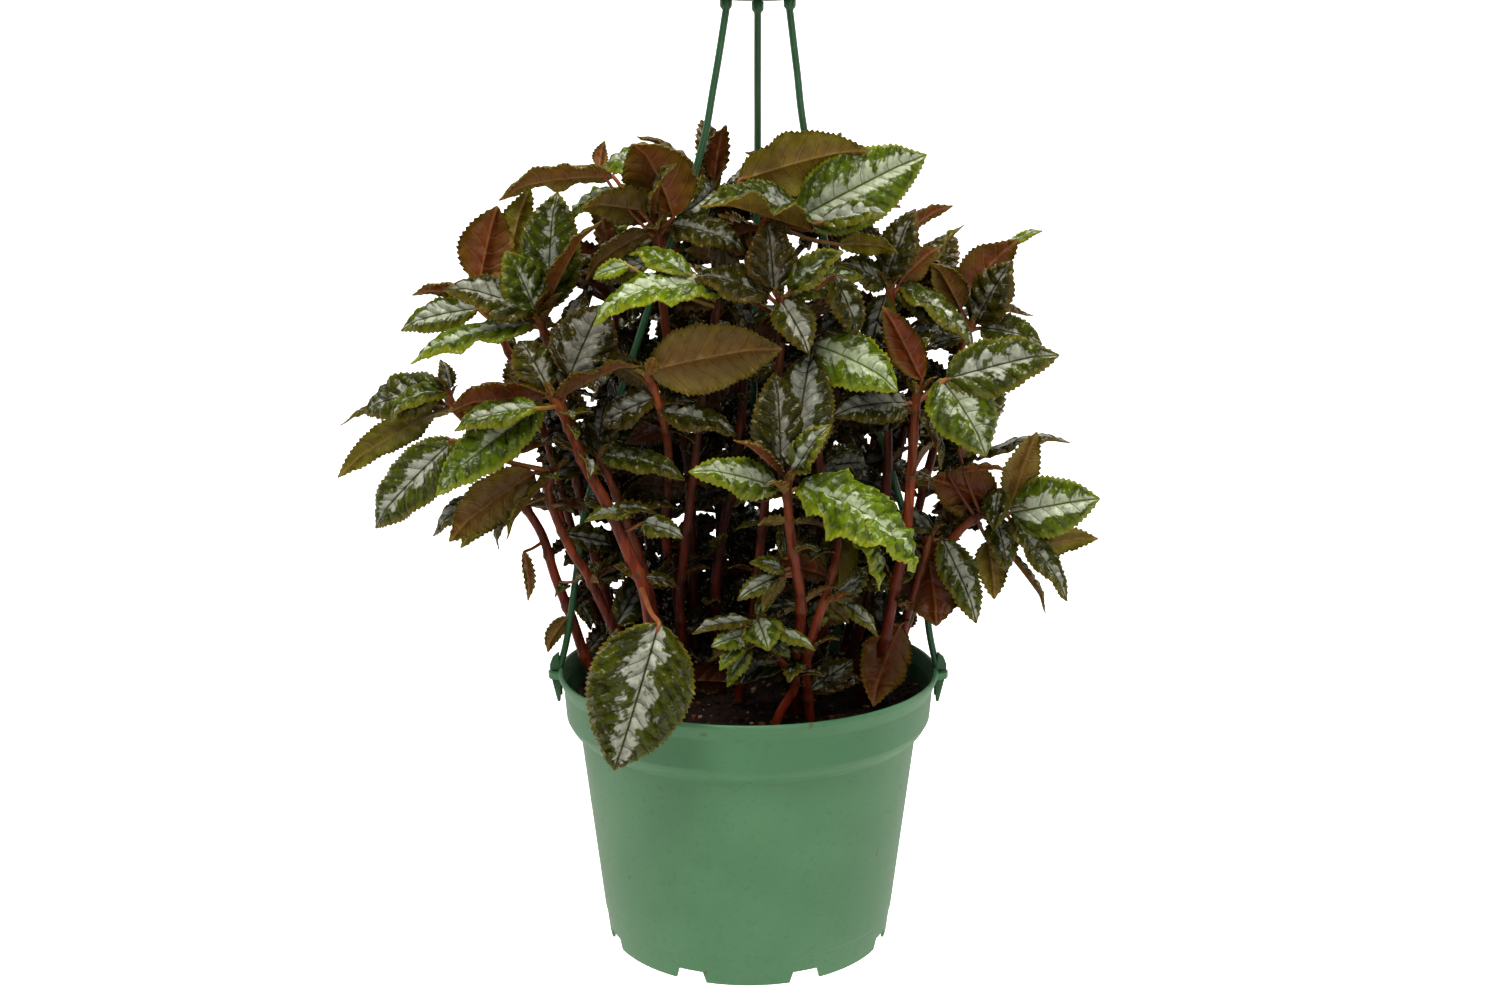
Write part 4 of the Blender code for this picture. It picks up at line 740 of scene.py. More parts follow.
def stem_radii(line, thick):
    """Stem radii: fuller at the joints, and thinner towards the top."""
    radii = []
    for i in range(len(line)):
        share = i / (len(line) - 1)
        radii.append(thick * (1 - 0.36 * share) * (1.0 if i < 2 else 1.06))
    return radii


def nearest_on(line, point):
    """The nearest point of a stem's middle line above the soil."""
    best, far = line[-1], (line[-1] - point).length
    for a, b in zip(line[2:], line[3:]):
        for k in range(9):
            here = a.lerp(b, k / 8)
            if (here - point).length < far:
                best, far = here, (here - point).length
    return best


def stem_socket(line, base, number):
    """Where a petiole starts inside its stem, a little to the leaf's side; each pair sits under the last."""
    near = nearest_on(line, base)
    end = line[-1] - line[-2]
    sink = TOP_SINK + PAIR_STEP * (number // 2)
    if (near - line[-1]).length < sink:
        near = line[-1] - end.normalized() * sink
    way = base - near
    return near + way.normalized() * min(SOCKET, way.length / 2)


def box_of(points):
    """The lowest and the highest corner of the box round some points."""
    low = Vector(min(p[i] for p in points) for i in range(3))
    high = Vector(max(p[i] for p in points) for i in range(3))
    return low, high


def boxes_meet(a, b):
    """Whether two boxes overlap."""
    return all(a[0][i] <= b[1][i] and b[0][i] <= a[1][i] for i in range(3))


class Crowd:
    """What has been placed so far, by owner, so that a new leaf can be set clear of all but its own stem."""

    def __init__(self):
        self.placed = []

    def add(self, owner, mesh):
        """Keeps a mesh under its owner's name."""
        self.placed.append((owner, box_of(mesh[0]), BVHTree.FromPolygons(*mesh)))

    def clear(self, owner, mesh):
        """Whether a mesh crosses nothing of another owner."""
        box, tree = box_of(mesh[0]), BVHTree.FromPolygons(*mesh)
        return not any(who != owner and boxes_meet(box, other) and tree.overlap(placed)
                       for who, other, placed in self.placed)


def outer_blade(leaf):
    """A blade without the part by its stem, where leaves of one whorl meet."""
    points, faces = leaf_mesh(leaf)
    root = leaf["root"]
    far = [(p - root).length > WHORL_RADIUS for p in points]
    return points, [f for f in faces if all(far[i] for i in f)]


def shoots_from_photo():
    """The stems that the photo shows, with their lines and leaves as points in space."""
    made = {}
    for name, row in SHOOTS.items():
        line = [sight(x, z, y) for x, z, y in row["stem"]]
        shoot = dict(root=row["root"], line=line, thick=row["thick"], leaves=[])
        for n, (x0, z0, x1, z1, dy, width, face, arch, fold, *nearer) in enumerate(row["leaves"]):
            near = min(line, key=lambda p: (p - sight(x0, z0, p.y)).length)
            depth = near.y - sum(nearer)
            base, tip = sight(x0, z0, depth), sight(x1, z1, depth + dy)
            if name == "left_front" and n == HANGING_LEAF:
                base, tip = sight(x0, z0, HANGING_DEPTH), sight(x1, z1, HANGING_DEPTH + dy)
            shoot["leaves"].append(dict(
                base=base, tip=tip, width=width, normal=facing_normal(base, tip, face), arch=arch, fold=fold,
                pair=n, seed=f"{name}{n}"))
        made[name] = shoot
    return made


def shoots_by_rule(rng):
    """The hidden stems: crossed pairs of leaves up the last of each, the lowest pair the most spread."""
    made = {}
    for number, (name, (top, length)) in enumerate(HIDDEN_TOPS.items()):
        top = Vector(top)
        root = ROOT_PLACES[number]
        soil = Vector((*root, SOIL_TOP + 1.5))
        line = []
        for share in (0.3, 0.65, 1.0):
            here = soil.lerp(top, share)
            out = 1 - (1 - share) ** 1.5
            line.append(Vector((soil.x + (top.x - soil.x) * out, soil.y + (top.y - soil.y) * out, here.z)))
        lean = (line[-1] - line[-2]).normalized()
        turn = rng.uniform(0, math.pi)
        leaves = []
        for pair in range(HIDDEN_PAIRS):
            at = line[-1] - lean * HIDDEN_STEP * (HIDDEN_PAIRS - 1 - pair)
            for end in (0, 1):
                angle = turn + math.pi / 2 * pair + math.pi * end + rng.uniform(-0.25, 0.25)
                rise = math.radians(HIDDEN_SPREAD[pair] + rng.uniform(-8, 8))
                level = Vector((math.cos(angle), math.sin(angle), 0))
                way = level * math.cos(rise) + Vector((0, 0, math.sin(rise)))
                size = length * HIDDEN_LENGTH[pair] * rng.uniform(0.85, 1.1)
                base = at + way * 4.0
                normal = Vector((0, 0, 1)) - way * way.z
                leaves.append(dict(
                    base=base, tip=base + way * size, width=size * rng.uniform(0.46, 0.54),
                    normal=normal.normalized(), arch=rng.uniform(18, 40), fold=rng.uniform(6, 16),
                    teeth=HIDDEN_TEETH[pair], pair=0, seed=f"{name}{pair}{end}"))
        made[name] = dict(root=root, line=line, thick=HIDDEN_THICK, leaves=leaves)
    return made


def turned(radius, k, steps):
    """The level place of step k of a circle."""
    return radius * math.cos(math.tau * k / steps), radius * math.sin(math.tau * k / steps)


def lathe(profile, steps):
    """Points and faces of a ring turned about z from a closed profile."""
    count = len(profile)
    points = [(*turned(r, k, steps), z) for k in range(steps) for r, z in profile]
    faces = [(k * count + i, k * count + (i + 1) % count, (k + 1) % steps * count + (i + 1) % count,
              (k + 1) % steps * count + i) for k in range(steps) for i in range(count)]
    return points, faces


def fixed_pieces():
    """What the plant has to stay clear of: the pot with its ears, and the strands."""
    pieces = [lathe(pot_profile(), POT_STEPS)] + [ear_prism(angle) for angle in EAR_ANGLES]
    for spec in STRANDS.values():
        pieces.append(strand_tube(spec))
        pieces += strand_ends(EAR_ANGLES[spec["ear"]])
    return pieces


def crowd_of_fixed():
    """A crowd that holds the pot and the strands."""
    crowd = Crowd()
    for mesh in fixed_pieces():
        crowd.add("fixed", mesh)
    return crowd


def settle_plant():
    """Sets every stem and leaf where it crosses no other piece. A leaf that finds no place is left out."""
    shoots = shoots_from_photo()
    shoots.update(shoots_by_rule(random.Random(SEED)))
    crowd = crowd_of_fixed()
    for name, shoot in shoots.items():
        first = list(shoot["line"])
        for depth, aside in STEM_SHIFTS:
            bow = [math.sin(math.pi * (i + 1) / len(first)) for i in range(len(first) - 1)]
            shoot["line"] = [slide(p, depth * share) + Vector((aside, 0, 0)) for p, share in zip(first, bow)]
            shoot["line"].append(first[-1])
            line = stem_path(shoot)
            radii = [r + STEM_CLEARANCE for r in stem_radii(line, shoot["thick"])]
            if crowd.clear(name, tube(line, radii, STEM_SIDES)):
                break
        line = stem_path(shoot)
        crowd.add(name, tube(line, stem_radii(line, shoot["thick"]), STEM_SIDES))
    for name, shoot in shoots.items():
        line = stem_path(shoot)
        kept, own = [], Crowd()
        for leaf in shoot["leaves"]:
            second = None
            for choice in bend_clear_choices(leaf):
                choice["root"] = stem_socket(line, choice["base"], choice["pair"])
                if not crowd.clear(name, leaf_mesh(choice, CLEARANCE)):
                    continue
                if own.clear(None, outer_blade(choice)):
                    break
                second = second or choice
            else:
                choice = second
            if choice is None:
                continue
            crowd.add(name, leaf_mesh(choice))
            if outer_blade(choice)[1]:
                own.add("", outer_blade(choice))
            kept.append(choice)
        shoot["leaves"] = kept
    return shoots


# Fine forms that take the place of the solids

NERVE_STEP = 6.3  # between the side nerves along a large blade
FEWEST_NERVES, MOST_NERVES = 3, 10
TEETH, PLAIN_TEETH = 3, 2  # to each nerve
TOOTH_PHASES, TOOTH_SHAPE = (0.0, 0.66), (-0.8, 0.8)  # rows of points, and how far each stands out
TOOTH_SHARE = 0.30  # a tooth's depth as a share of the step between teeth
COLUMNS = (0.0, 0.08, 0.25, 0.44, 0.64, 0.84, 1.0)  # from the midrib to the margin
PLAIN_COLUMNS, TINY_COLUMNS = (0.0, 0.22, 0.62, 1.0), (0.0, 0.42, 1.0)
TINY_BLADE = 22.0  # a plain blade shorter than this has the fewest columns
NERVE_SLANT, NERVE_BEND = 0.50, 0.020  # a side nerve runs forward by this much for its way outwards
SKIN = 0.45  # thickness of a blade
PUFF = 0.28  # height of the quilting as a share of the step between nerves
BLISTERS, UNDER_PUFF = 0.75, 0.85  # uneven quilting, and how much of the quilting shows on the under side
NERVE_STRAY, NERVE_SHIFT = 0.22, 0.2  # how unevenly the nerves run, and how far the two halves' are apart
SLOW_WAVES, QUICK_WAVES, STRAY_WAVES, BLISTER_WAVES = 0.11, 0.26, 0.12, 0.30  # of noise, to a millimetre
GROOVE, GROOVE_HALF = 0.30, 0.7  # depth and half width of the line over the midrib
KEEL, KEEL_HALF, KEEL_TAPER = 0.75, 0.75, 0.65  # the midrib under the blade
RIB = 0.30  # height of a side nerve under the blade
SOFT_FOLD = 1.1  # half the width of the bend at the midrib
RIPPLE, FINE_RIPPLE = 0.38, 0.11  # slow and quick waves of the margin, as shares of the half width
MARGIN_ROLL = 0.20  # the margin turns down by this share of the half width
BELLY = 0.22  # each half bulges upwards by this share of its width
TIP_CURL, CURL_START = 0.070, 0.72  # the tip turns down by this share of the length, from here on
MARKS = ("inset", "rim", "rib", "under", "tone", "bright", "shade", "along", "stalk", "joint")

# How fresh each leaf is, in the order of the table: 0 is dark bronze, 1 is lime.
TONES = {
    "crown_centre": (0.55, 0.80, 0.50, 0.40, 0.65, 0.55),
    "crown_left": (0.35, 0.30, 0.48, 0.82, 0.40, 0.28, 0.30, 0.15, 0.75),
    "left_upper": (0.30, 0.50, 0.32, 0.85, 0.62, 0.35),
    "left_outer": (0.22, 0.25, 0.58, 0.72),
    "left_tip": (0.58, 0.40, 0.35, 0.75, 0.30, 0.30, 0.25, 0.40, 0.40, 0.45, 0.45),
    "left_low": (0.48, 0.38, 0.42, 0.82, 0.50, 0.30),
    "left_front": (0.30, 0.15, 0.95, 0.70, 0.18, 0.22, 0.15, 0.42, 0.60, 0.50),
    "inner_left": (0.48, 0.30, 0.25, 0.20),
    "arching": (0.95, 0.80, 0.90, 0.20),
    "tan_leaf": (0.40, 0.25, 0.20),
    "centre_star": (0.10, 0.48, 0.32, 0.22, 0.62, 0.28),
    "front_crown": (0.25, 0.40, 0.55, 0.18, 0.82, 1.0, 0.95, 0.50, 0.50, 0.40, 0.45),
    "green_right": (1.0, 0.35, 0.25, 0.30),
    "right_whorl": (0.32, 0.05, 0.72, 0.48, 0.35, 0.30, 0.25, 0.20),
    "right_upper": (0.22, 0.18, 0.50, 0.40, 0.35, 0.25, 0.30),
    "right_top": (0.28, 0.70, 0.22, 0.42, 0.35),
    "right_shoot": (0.72, 0.40, 0.62, 0.35, 0.38, 0.55, 0.42, 0.18, 0.40, 0.15, 0.25),
    "right_low": (0.15, 0.48, 0.35),
    "front_low": (0.35, 0.72, 0.80, 0.85, 0.82, 0.60, 0.70, 0.65),
    "low_right": (0.70, 0.50, 0.62, 0.45, 0.40, 0.35),
}
HIDDEN_TONES = (0.05, 0.5)

# Blades, by stem and place in its table, that are more crumpled than the rest.
CRUMPLED = {
    "front_crown5": 2.1, "front_crown6": 1.7, "left_front7": 1.7, "left_front2": 1.3, "crown_left3": 1.3,
}
# Blades whose silver has a set width. The others' is drawn from 0 to 1.
BROAD_SILVER = {"left_front7": 0.46, "front_crown1": 0.85, "right_shoot0": 0.72}


class Skin:
    """One piece while it is built: points, faces with their finish, and named values at each point."""

    def __init__(self):
        self.points, self.faces, self.finish = [], [], []
        self.marks = {name: [] for name in MARKS}
        self.count = 0

    def add(self, points, faces, finish, **marks):
        """Adds points, faces that count from this call's first point, and the points' values."""
        self.points.append(np.array([tuple(p) for p in points], float))
        self.faces += [tuple(i + self.count for i in face) for face in faces]
        self.finish += [finish] * len(faces)
        for name in MARKS:
            value = marks.get(name, 0.0)
            self.marks[name].append(np.broadcast_to(np.asarray(value, float), (len(points),)))
        self.count += len(points)

    def make(self, name, finishes, sharp=1.0):
        """The mesh object, in metres from the hook's bearing point."""
        shift = np.array((HUB_X, 0.0, HANG_HEIGHT))
        mesh = bpy.data.meshes.new(name)
        places = (np.concatenate(self.points) - shift) * MM
        mesh.from_pydata(places.tolist(), [], self.faces)
        for finish in finishes:
            mesh.materials.append(finish)
        mesh.polygons.foreach_set("material_index", self.finish)
        for mark, values in self.marks.items():
            joined = np.concatenate(values)
            if joined.any():
                mesh.attributes.new(mark, "FLOAT", "POINT").data.foreach_set("value", joined)
        mesh.update()
        mesh.shade_smooth()
        mesh.set_sharp_from_angle(angle=sharp)
        return linked(name, mesh)


def grid_faces(rows, columns, start=0, turn=False):
    """Quads of a grid of points, row by row. Turned or not, each starts at the same corner, so that two grids
    with one skin between them split along the same diagonals."""
    faces = []
    for i in range(rows - 1):
        for k in range(columns - 1):
            a = start + i * columns + k
            one, two = a + 1, a + columns
            faces.append((a, two, two + 1, one) if turn else (a, one, two + 1, two))
    return faces


def edge_lifts(leaf, t, side):
    """The rise and fall of a blade's margin, the same as its solid's."""
    teeth, wave = solid_teeth(leaf), random.Random(leaf["seed"])
    places, lifts = {1: [0.0], -1: [0.0]}, {1: [0.0], -1: [0.0]}
    for each in (1, -1):
        for k in range(1, 2 * teeth + 1):
            places[each].append(tooth_place(k, teeth))
            lifts[each].append(wave.uniform(-EDGE_LIFT, EDGE_LIFT) * leaf["width"] / 2)
        places[each].append(1.0)
        lifts[each].append(0.0)
    return np.interp(t, places[side], lifts[side])


def midrib_lines(leaf, shares):
    """Midrib points, forward and upper directions at many places along a leaf."""
    rows = [midrib(leaf, t) for t in shares]
    return [np.array([tuple(row[i]) for row in rows]) for i in range(3)]


def ease(value, low, high):
    """A smooth step from 0 at low to 1 at high."""
    k = np.clip((value - low) / (high - low), 0.0, 1.0)
    return k * k * (3 - 2 * k)


def noise_grid(rows, columns, seed):
    """Smooth noise at every pair of a row place and a column place."""
    return np.array([[noise.noise((a, b, seed)) for b in columns] for a in rows])


def margin_line(leaf, step, plain):
    """Places along a blade, its half width at each and how far the teeth stand out there."""
    length = (leaf["tip"] - leaf["base"]).length
    each = PLAIN_TEETH if plain else TEETH
    teeth = each * round(length / step)
    t = np.array([(k + phase) / teeth for k in range(teeth) for phase in TOOTH_PHASES] + [1.0])
    wide = np.array([half_width(min(max(v, 0.0), 1.0)) for v in t]) * leaf["width"] / 2
    wide = np.maximum(wide, 0.25)
    out = np.array(list(TOOTH_SHAPE) * teeth + [0.0]) * step / each * TOOTH_SHARE
    return t, wide, out * ease(wide, 0.3, 3.0)


def add_blade(skin, leaf, tone, bright, light, plain):
    """A quilted blade with its teeth: upper and under side, closed round the margin. "light" is how much
    daylight reaches it at three places along it."""
    length = (leaf["tip"] - leaf["base"]).length
    step = length / min(max(round(length / NERVE_STEP), FEWEST_NERVES), MOST_NERVES)
    t, wide, out = margin_line(leaf, step, plain)
    half_columns = COLUMNS
    if plain:
        half_columns = TINY_COLUMNS if length < TINY_BLADE else PLAIN_COLUMNS
    s = np.array([-v for v in reversed(half_columns[1:])] + list(half_columns))
    rows, columns = len(t), len(s)
    seed = sum(map(ord, leaf["seed"])) % 97
    centre, forward, upper = midrib_lines(leaf, t)
    across = np.cross(upper, forward)
    side, share = np.sign(s)[None, :], np.abs(s)[None, :]
    y = (t * length)[:, None]
    inset = share * wide[:, None]
    inset[:, 0] += out
    inset[:, -1] += out
    inset = np.maximum(inset, 0.0)
    rim = np.maximum(wide[:, None] - inset, 0.0)

    fold, crumple = math.radians(leaf["fold"]), CRUMPLED.get(leaf["seed"], 1.0)
    soft = np.sqrt(inset ** 2 + SOFT_FOLD ** 2)
    turn = inset / soft * fold
    lift = np.where(side > 0, edge_lifts(leaf, t, 1)[:, None], edge_lifts(leaf, t, -1)[:, None]) * share ** 2
    slow = noise_grid(t * length * SLOW_WAVES, np.sign(s) * 2.0, seed)
    quick = noise_grid(t * length * QUICK_WAVES, np.sign(s) * 2.0, seed + 31)
    waves = (slow * RIPPLE + quick * FINE_RIPPLE) * crumple
    lift = lift + (waves - MARGIN_ROLL * share) * wide[:, None] * share ** 2
    lift = lift + BELLY * wide[:, None] * share * (1 - share)
    lift = lift - TIP_CURL * length * ease(t, CURL_START, 1.0)[:, None]
    rise = (soft - SOFT_FOLD) * math.sin(fold) + lift

    stray = noise_grid(t * length * STRAY_WAVES, s * 1.5, seed + 5)
    rib = (y - NERVE_SLANT * inset - NERVE_BEND * inset ** 2) / step + stray * NERVE_STRAY
    rib = rib + side * NERVE_SHIFT * ease(inset, 0.0, 2.0)
    dome = np.abs(np.sin(math.pi * rib)) ** 0.7
    window = ease(inset, 0.2, 2.2) * (1 - 0.7 * ease(share + 0 * inset, 0.86, 1.0))
    fade = ease(wide, 1.0, 4.0)[:, None]
    blisters = noise_grid(t * length * BLISTER_WAVES, s * wide.max() * BLISTER_WAVES, seed + 11)
    puff = (dome * (0.7 + 0.5 * stray) + BLISTERS * blisters) * PUFF * crumple * step * window * fade
    groove = GROOVE * np.exp(-(inset / GROOVE_HALF) ** 2)
    keel = KEEL * np.exp(-(inset / KEEL_HALF) ** 2) * (1 - KEEL_TAPER * t)[:, None]
    keel = keel + RIB * (1 - dome) ** 2 * window * fade

    normal = (upper[:, None, :] * np.cos(turn)[..., None]
              - across[:, None, :] * (side * np.sin(turn))[..., None])
    place = (centre[:, None, :] + across[:, None, :] * (side * inset * math.cos(fold))[..., None]
             + upper[:, None, :] * rise[..., None])
    top = place + normal * (SKIN / 2 + puff - groove)[..., None]
    low = place + normal * (-SKIN / 2 + puff * UNDER_PUFF - keel)[..., None]
    n = rows * columns
    faces = grid_faces(rows, columns, 0, turn=True) + grid_faces(rows, columns, n)
    faces += margin_faces(rows, columns)
    skin.add(np.concatenate([top.reshape(-1, 3), low.reshape(-1, 3)]), faces, BLADE,
             inset=both(inset), rim=both(rim), rib=both(rib + 8.0), tone=tone, bright=bright,
             shade=both(np.broadcast_to(np.interp(t, LIT_PLACES, light)[:, None], inset.shape)),
             under=np.concatenate([np.zeros(n), np.ones(n)]))


def both(values):
    """The upper side's values, given to the under side as well."""
    return np.concatenate([values.reshape(-1)] * 2)


def margin_faces(rows, columns):
    """Quads that join the upper and the under side round the margin."""
    n, faces = rows * columns, []
    for i in range(rows - 1):
        a, b = i * columns, (i + 1) * columns
        faces.append((a, b, b + n, a + n))
        a, b = a + columns - 1, b + columns - 1
        faces.append((b, a, a + n, b + n))
    for k in range(columns - 1):
        faces.append((k + 1, k, k + n, k + 1 + n))
        a = (rows - 1) * columns + k
        faces.append((a, a + 1, a + 1 + n, a + n))
    return faces


BLADE, BARK = 0, 1

# Daylight inside the bush: the share of rays upwards and sideways that meet no other leaf.
SKY_RAYS = 40
SKY_LOWEST = -0.10
RAY_START, RAY_LENGTH = 3.5, 110.0
LIT_PLACES = (0.0, 0.5, 1.0)
DARKEST, FULL_SKY, SKY_POWER = 0.08, 0.60, 1.3


def sky_rays():
    """Directions spread evenly over the sky and a little below the horizon."""
    rays = []
    for k in range(SKY_RAYS):
        z = SKY_LOWEST + (1 - SKY_LOWEST) * (k + 0.5) / SKY_RAYS
        level, turn = math.sqrt(1 - z * z), math.pi * (3 - math.sqrt(5)) * k
        rays.append(Vector((level * math.cos(turn), level * math.sin(turn), z)))
    return rays


class Daylight:
    """How dark a place in the bush is, from the leaves around it."""

    def __init__(self, meshes):
        points, faces = [], []
        for more, sides in meshes:
            faces += [tuple(i + len(points) for i in side) for side in sides]
            points += more
        self.tree = BVHTree.FromPolygons(points, faces)
        self.rays = sky_rays()

    def at(self, place):
        """How much daylight reaches a place, from DARKEST to 1."""
        free = sum(self.tree.ray_cast(place + ray * RAY_START, ray, RAY_LENGTH)[0] is None
                   for ray in self.rays)
        share = min(1.0, free / len(self.rays) / FULL_SKY)
        return DARKEST + (1 - DARKEST) * share ** SKY_POWER

    def along(self, leaf):
        """Daylight at three places along a leaf."""
        return [self.at(midrib(leaf, t)[0]) for t in LIT_PLACES]


def smooth_line(path, radii, parts):
    """A Catmull-Rom line through a path, with its radii."""
    line, sizes = [], []
    for i in range(len(path) - 1):
        a, b = path[max(i - 1, 0)], path[i]
        c, d = path[i + 1], path[min(i + 2, len(path) - 1)]
        for k in range(parts):
            u = k / parts
            line.append(0.5 * (2 * b + (c - a) * u + (2 * a - 5 * b + 4 * c - d) * u * u
                               + (3 * b - a - 3 * c + d) * u ** 3))
            sizes.append(radii[i] + (radii[i + 1] - radii[i]) * u)
    line.append(path[-1])
    sizes.append(radii[-1])
    return line, sizes


def rounded_tube(path, radii, sides):
    """A tube with a domed end."""
    along = (path[-1] - path[-2]).normalized()
    path = path + [path[-1] + along * radii[-1] * k for k in (0.5, 0.85)]
    radii = radii + [radii[-1] * 0.86, radii[-1] * 0.45]
    return tube(path, radii, sides)


STEM_PARTS = 4
STEM_ROUND = 10
JOINT_STEP, INNER_JOINT_STEP = 23.0, 15.0
JOINT_SWELL, JOINT_HALF = 0.30, 1.5  # how much thicker a joint is, and half its length
RING_STEP = 1.6  # between a stem's rings of points
LIGHT_STEP = 8  # rings of a stem between two looks at its light
PETIOLE_SIDES = 8
PETIOLE_THIN, PETIOLE_MORE, BROAD_LEAF = 0.55, 0.42, 24  # a stalk's radius, and what a leaf this wide adds
PETIOLE_TAPER = (1.25, 1.0, 0.95, 0.5)  # of that radius, from the stem to inside the blade
PETIOLE_INTO, PETIOLE_UNDER = 0.07, 0.7  # how far it runs into the blade, as a share, and how low under it
PETIOLE_SAG = 0.05  # a long stalk hangs down by this share of its length
STEM_SLIM = 0.95  # a stem's radius between two joints, as a share of its solid's


def joints_on(line, longest, rng):
    """Heights along a stem's line, in millimetres, of its swollen joints: closer together near its top."""
    total = sum((b - a).length for a, b in zip(line, line[1:]))
    heights, at = [], total - 1.0
    step = longest * 0.25
    while at > ROOT_DEPTH + 6:
        heights.append(at)
        at -= step * rng.uniform(0.85, 1.2)
        step = min(step * 1.6, longest)
    return heights


def stem_light(line, daylight):
    """Daylight at every ring of a stem, with the two of its domed end."""
    places = list(range(0, len(line), LIGHT_STEP)) + [len(line) - 1]
    seen = [daylight.at(line[i]) for i in places]
    return np.interp(range(len(line) + 2), places, seen)


def stem_run(name, shoot):
    """A stem's smooth middle line with its radii, and the heights of its joints."""
    path = stem_path(shoot)
    line, radii = smooth_line(path, stem_radii(path, shoot["thick"]), STEM_PARTS)
    longest = JOINT_STEP if name in TONES else INNER_JOINT_STEP
    return line, radii, joints_on(line, longest, random.Random(shoot["thick"] + line[0].x))


def add_stem(skin, run_of_stem, daylight):
    """A round red stem with swollen joints, from its hole in the soil to its top."""
    line, radii, heights = run_of_stem
    dense, sizes, swell, share = [], [], [], []
    total = sum((b - a).length for a, b in zip(line, line[1:]))
    run = 0.0
    for i in range(len(line) - 1):
        length = (line[i + 1] - line[i]).length
        parts = max(1, round(length / RING_STEP))
        for k in range(parts):
            u = k / parts
            at = run + length * u
            bulge = max([math.exp(-((at - h) / JOINT_HALF) ** 2) for h in heights] or [0.0])
            dense.append(line[i].lerp(line[i + 1], u))
            sizes.append((radii[i] + (radii[i + 1] - radii[i]) * u) * (STEM_SLIM + JOINT_SWELL * bulge))
            swell.append(bulge)
            share.append(at / total)
        run += length
    dense.append(line[-1])
    sizes.append(radii[-1])
    swell.append(1.0)
    share.append(1.0)
    points, faces = rounded_tube(dense, sizes, STEM_ROUND)
    swell, share = swell + [1.0, 1.0], share + [1.0, 1.0]
    skin.add(points, faces, BARK, along=np.repeat(share, STEM_ROUND),
             joint=np.repeat(swell, STEM_ROUND), shade=np.repeat(stem_light(dense, daylight), STEM_ROUND))


def add_petiole(skin, leaf, tone, light):
    """A leaf's stalk, from inside its stem to the start of the blade's midrib."""
    start, base = leaf["root"], leaf["base"]
    into, _, upper = midrib(leaf, PETIOLE_INTO)
    into = into - upper * PETIOLE_UNDER
    run = (base - start).length
    lead = start.lerp(base, 0.6)
    if run > STALK:
        lead = start.lerp(base, 0.55) - Vector((0, 0, run * PETIOLE_SAG))
    path = [start, lead, base - upper * 0.4, into]
    size = PETIOLE_THIN + PETIOLE_MORE * min(1.0, leaf["width"] / BROAD_LEAF)
    line, radii = smooth_line(path, [size * share for share in PETIOLE_TAPER], 4)
    points, faces = rounded_tube(line, radii, PETIOLE_SIDES)
    skin.add(points, faces, BARK, along=0.8, stalk=1.0, tone=tone, shade=light[0])


# Small leaves that only scene.py adds: young ones in each top, and pairs at the joints lower down.
YOUNG_LENGTH = (6.0, 11.0)
SMALL_WIDTH, SMALL_ARCH, SMALL_FOLD = (0.42, 0.55), (5, 40), (16, 34)
SMALL_STALK = 1.6
SIDE_LENGTH, SIDE_CHANCE = (10.0, 19.0), 0.62
INNER_LENGTH, INNER_CHANCE = (20.0, 42.0), 1.0
SIDE_RISE, INNER_RISE = (-0.45, 0.6), (-1.0, 0.7)  # how steeply they point up or hang down
LEAF_TILT, INNER_TILT = (0.0, 0.9), (0.4, 1.35)  # how far they roll to one side
CLEAR_TRIES, INNER_TRIES = 6, 18
NEXT_TURN, NEXT_SIZE = 0.7, 0.93  # a leaf with no room is tried again this much further round and smaller
BEHIND = (0.12, 0.88)  # directions away from the viewer, as shares of half a turn
LOWEST_JOINT, LOWEST_TIP = 10.0, 3.0  # over the soil
SMALL_CLEARANCE = 0.3


def young_leaf(at, way, length, rng, name, tilt=LEAF_TILT):
    """A small leaf that grows from a place on a stem, tilted a little to one side."""
    way = way.normalized()
    up = Vector((0, 0, 1)) - way * way.z
    if up.length < 0.2:
        up = Vector((0, -1, 0)) - way * way.y
    up.rotate(Quaternion(way, rng.choice((-1, 1)) * rng.uniform(*tilt)))
    base = at + way * SMALL_STALK
    return dict(base=base, tip=base + way * length, width=length * rng.uniform(*SMALL_WIDTH),
                normal=up.normalized(), arch=rng.uniform(*SMALL_ARCH), fold=rng.uniform(*SMALL_FOLD), root=at,
                seed=name)


def joint_places(line, heights):
    """The points on a stem's line at its joints."""
    run, places = 0.0, []
    for a, b in zip(line, line[1:]):
        run += (b - a).length
        places.append((run, b))
    return [min(places, key=lambda row: abs(row[0] - height))[1] for height in heights]


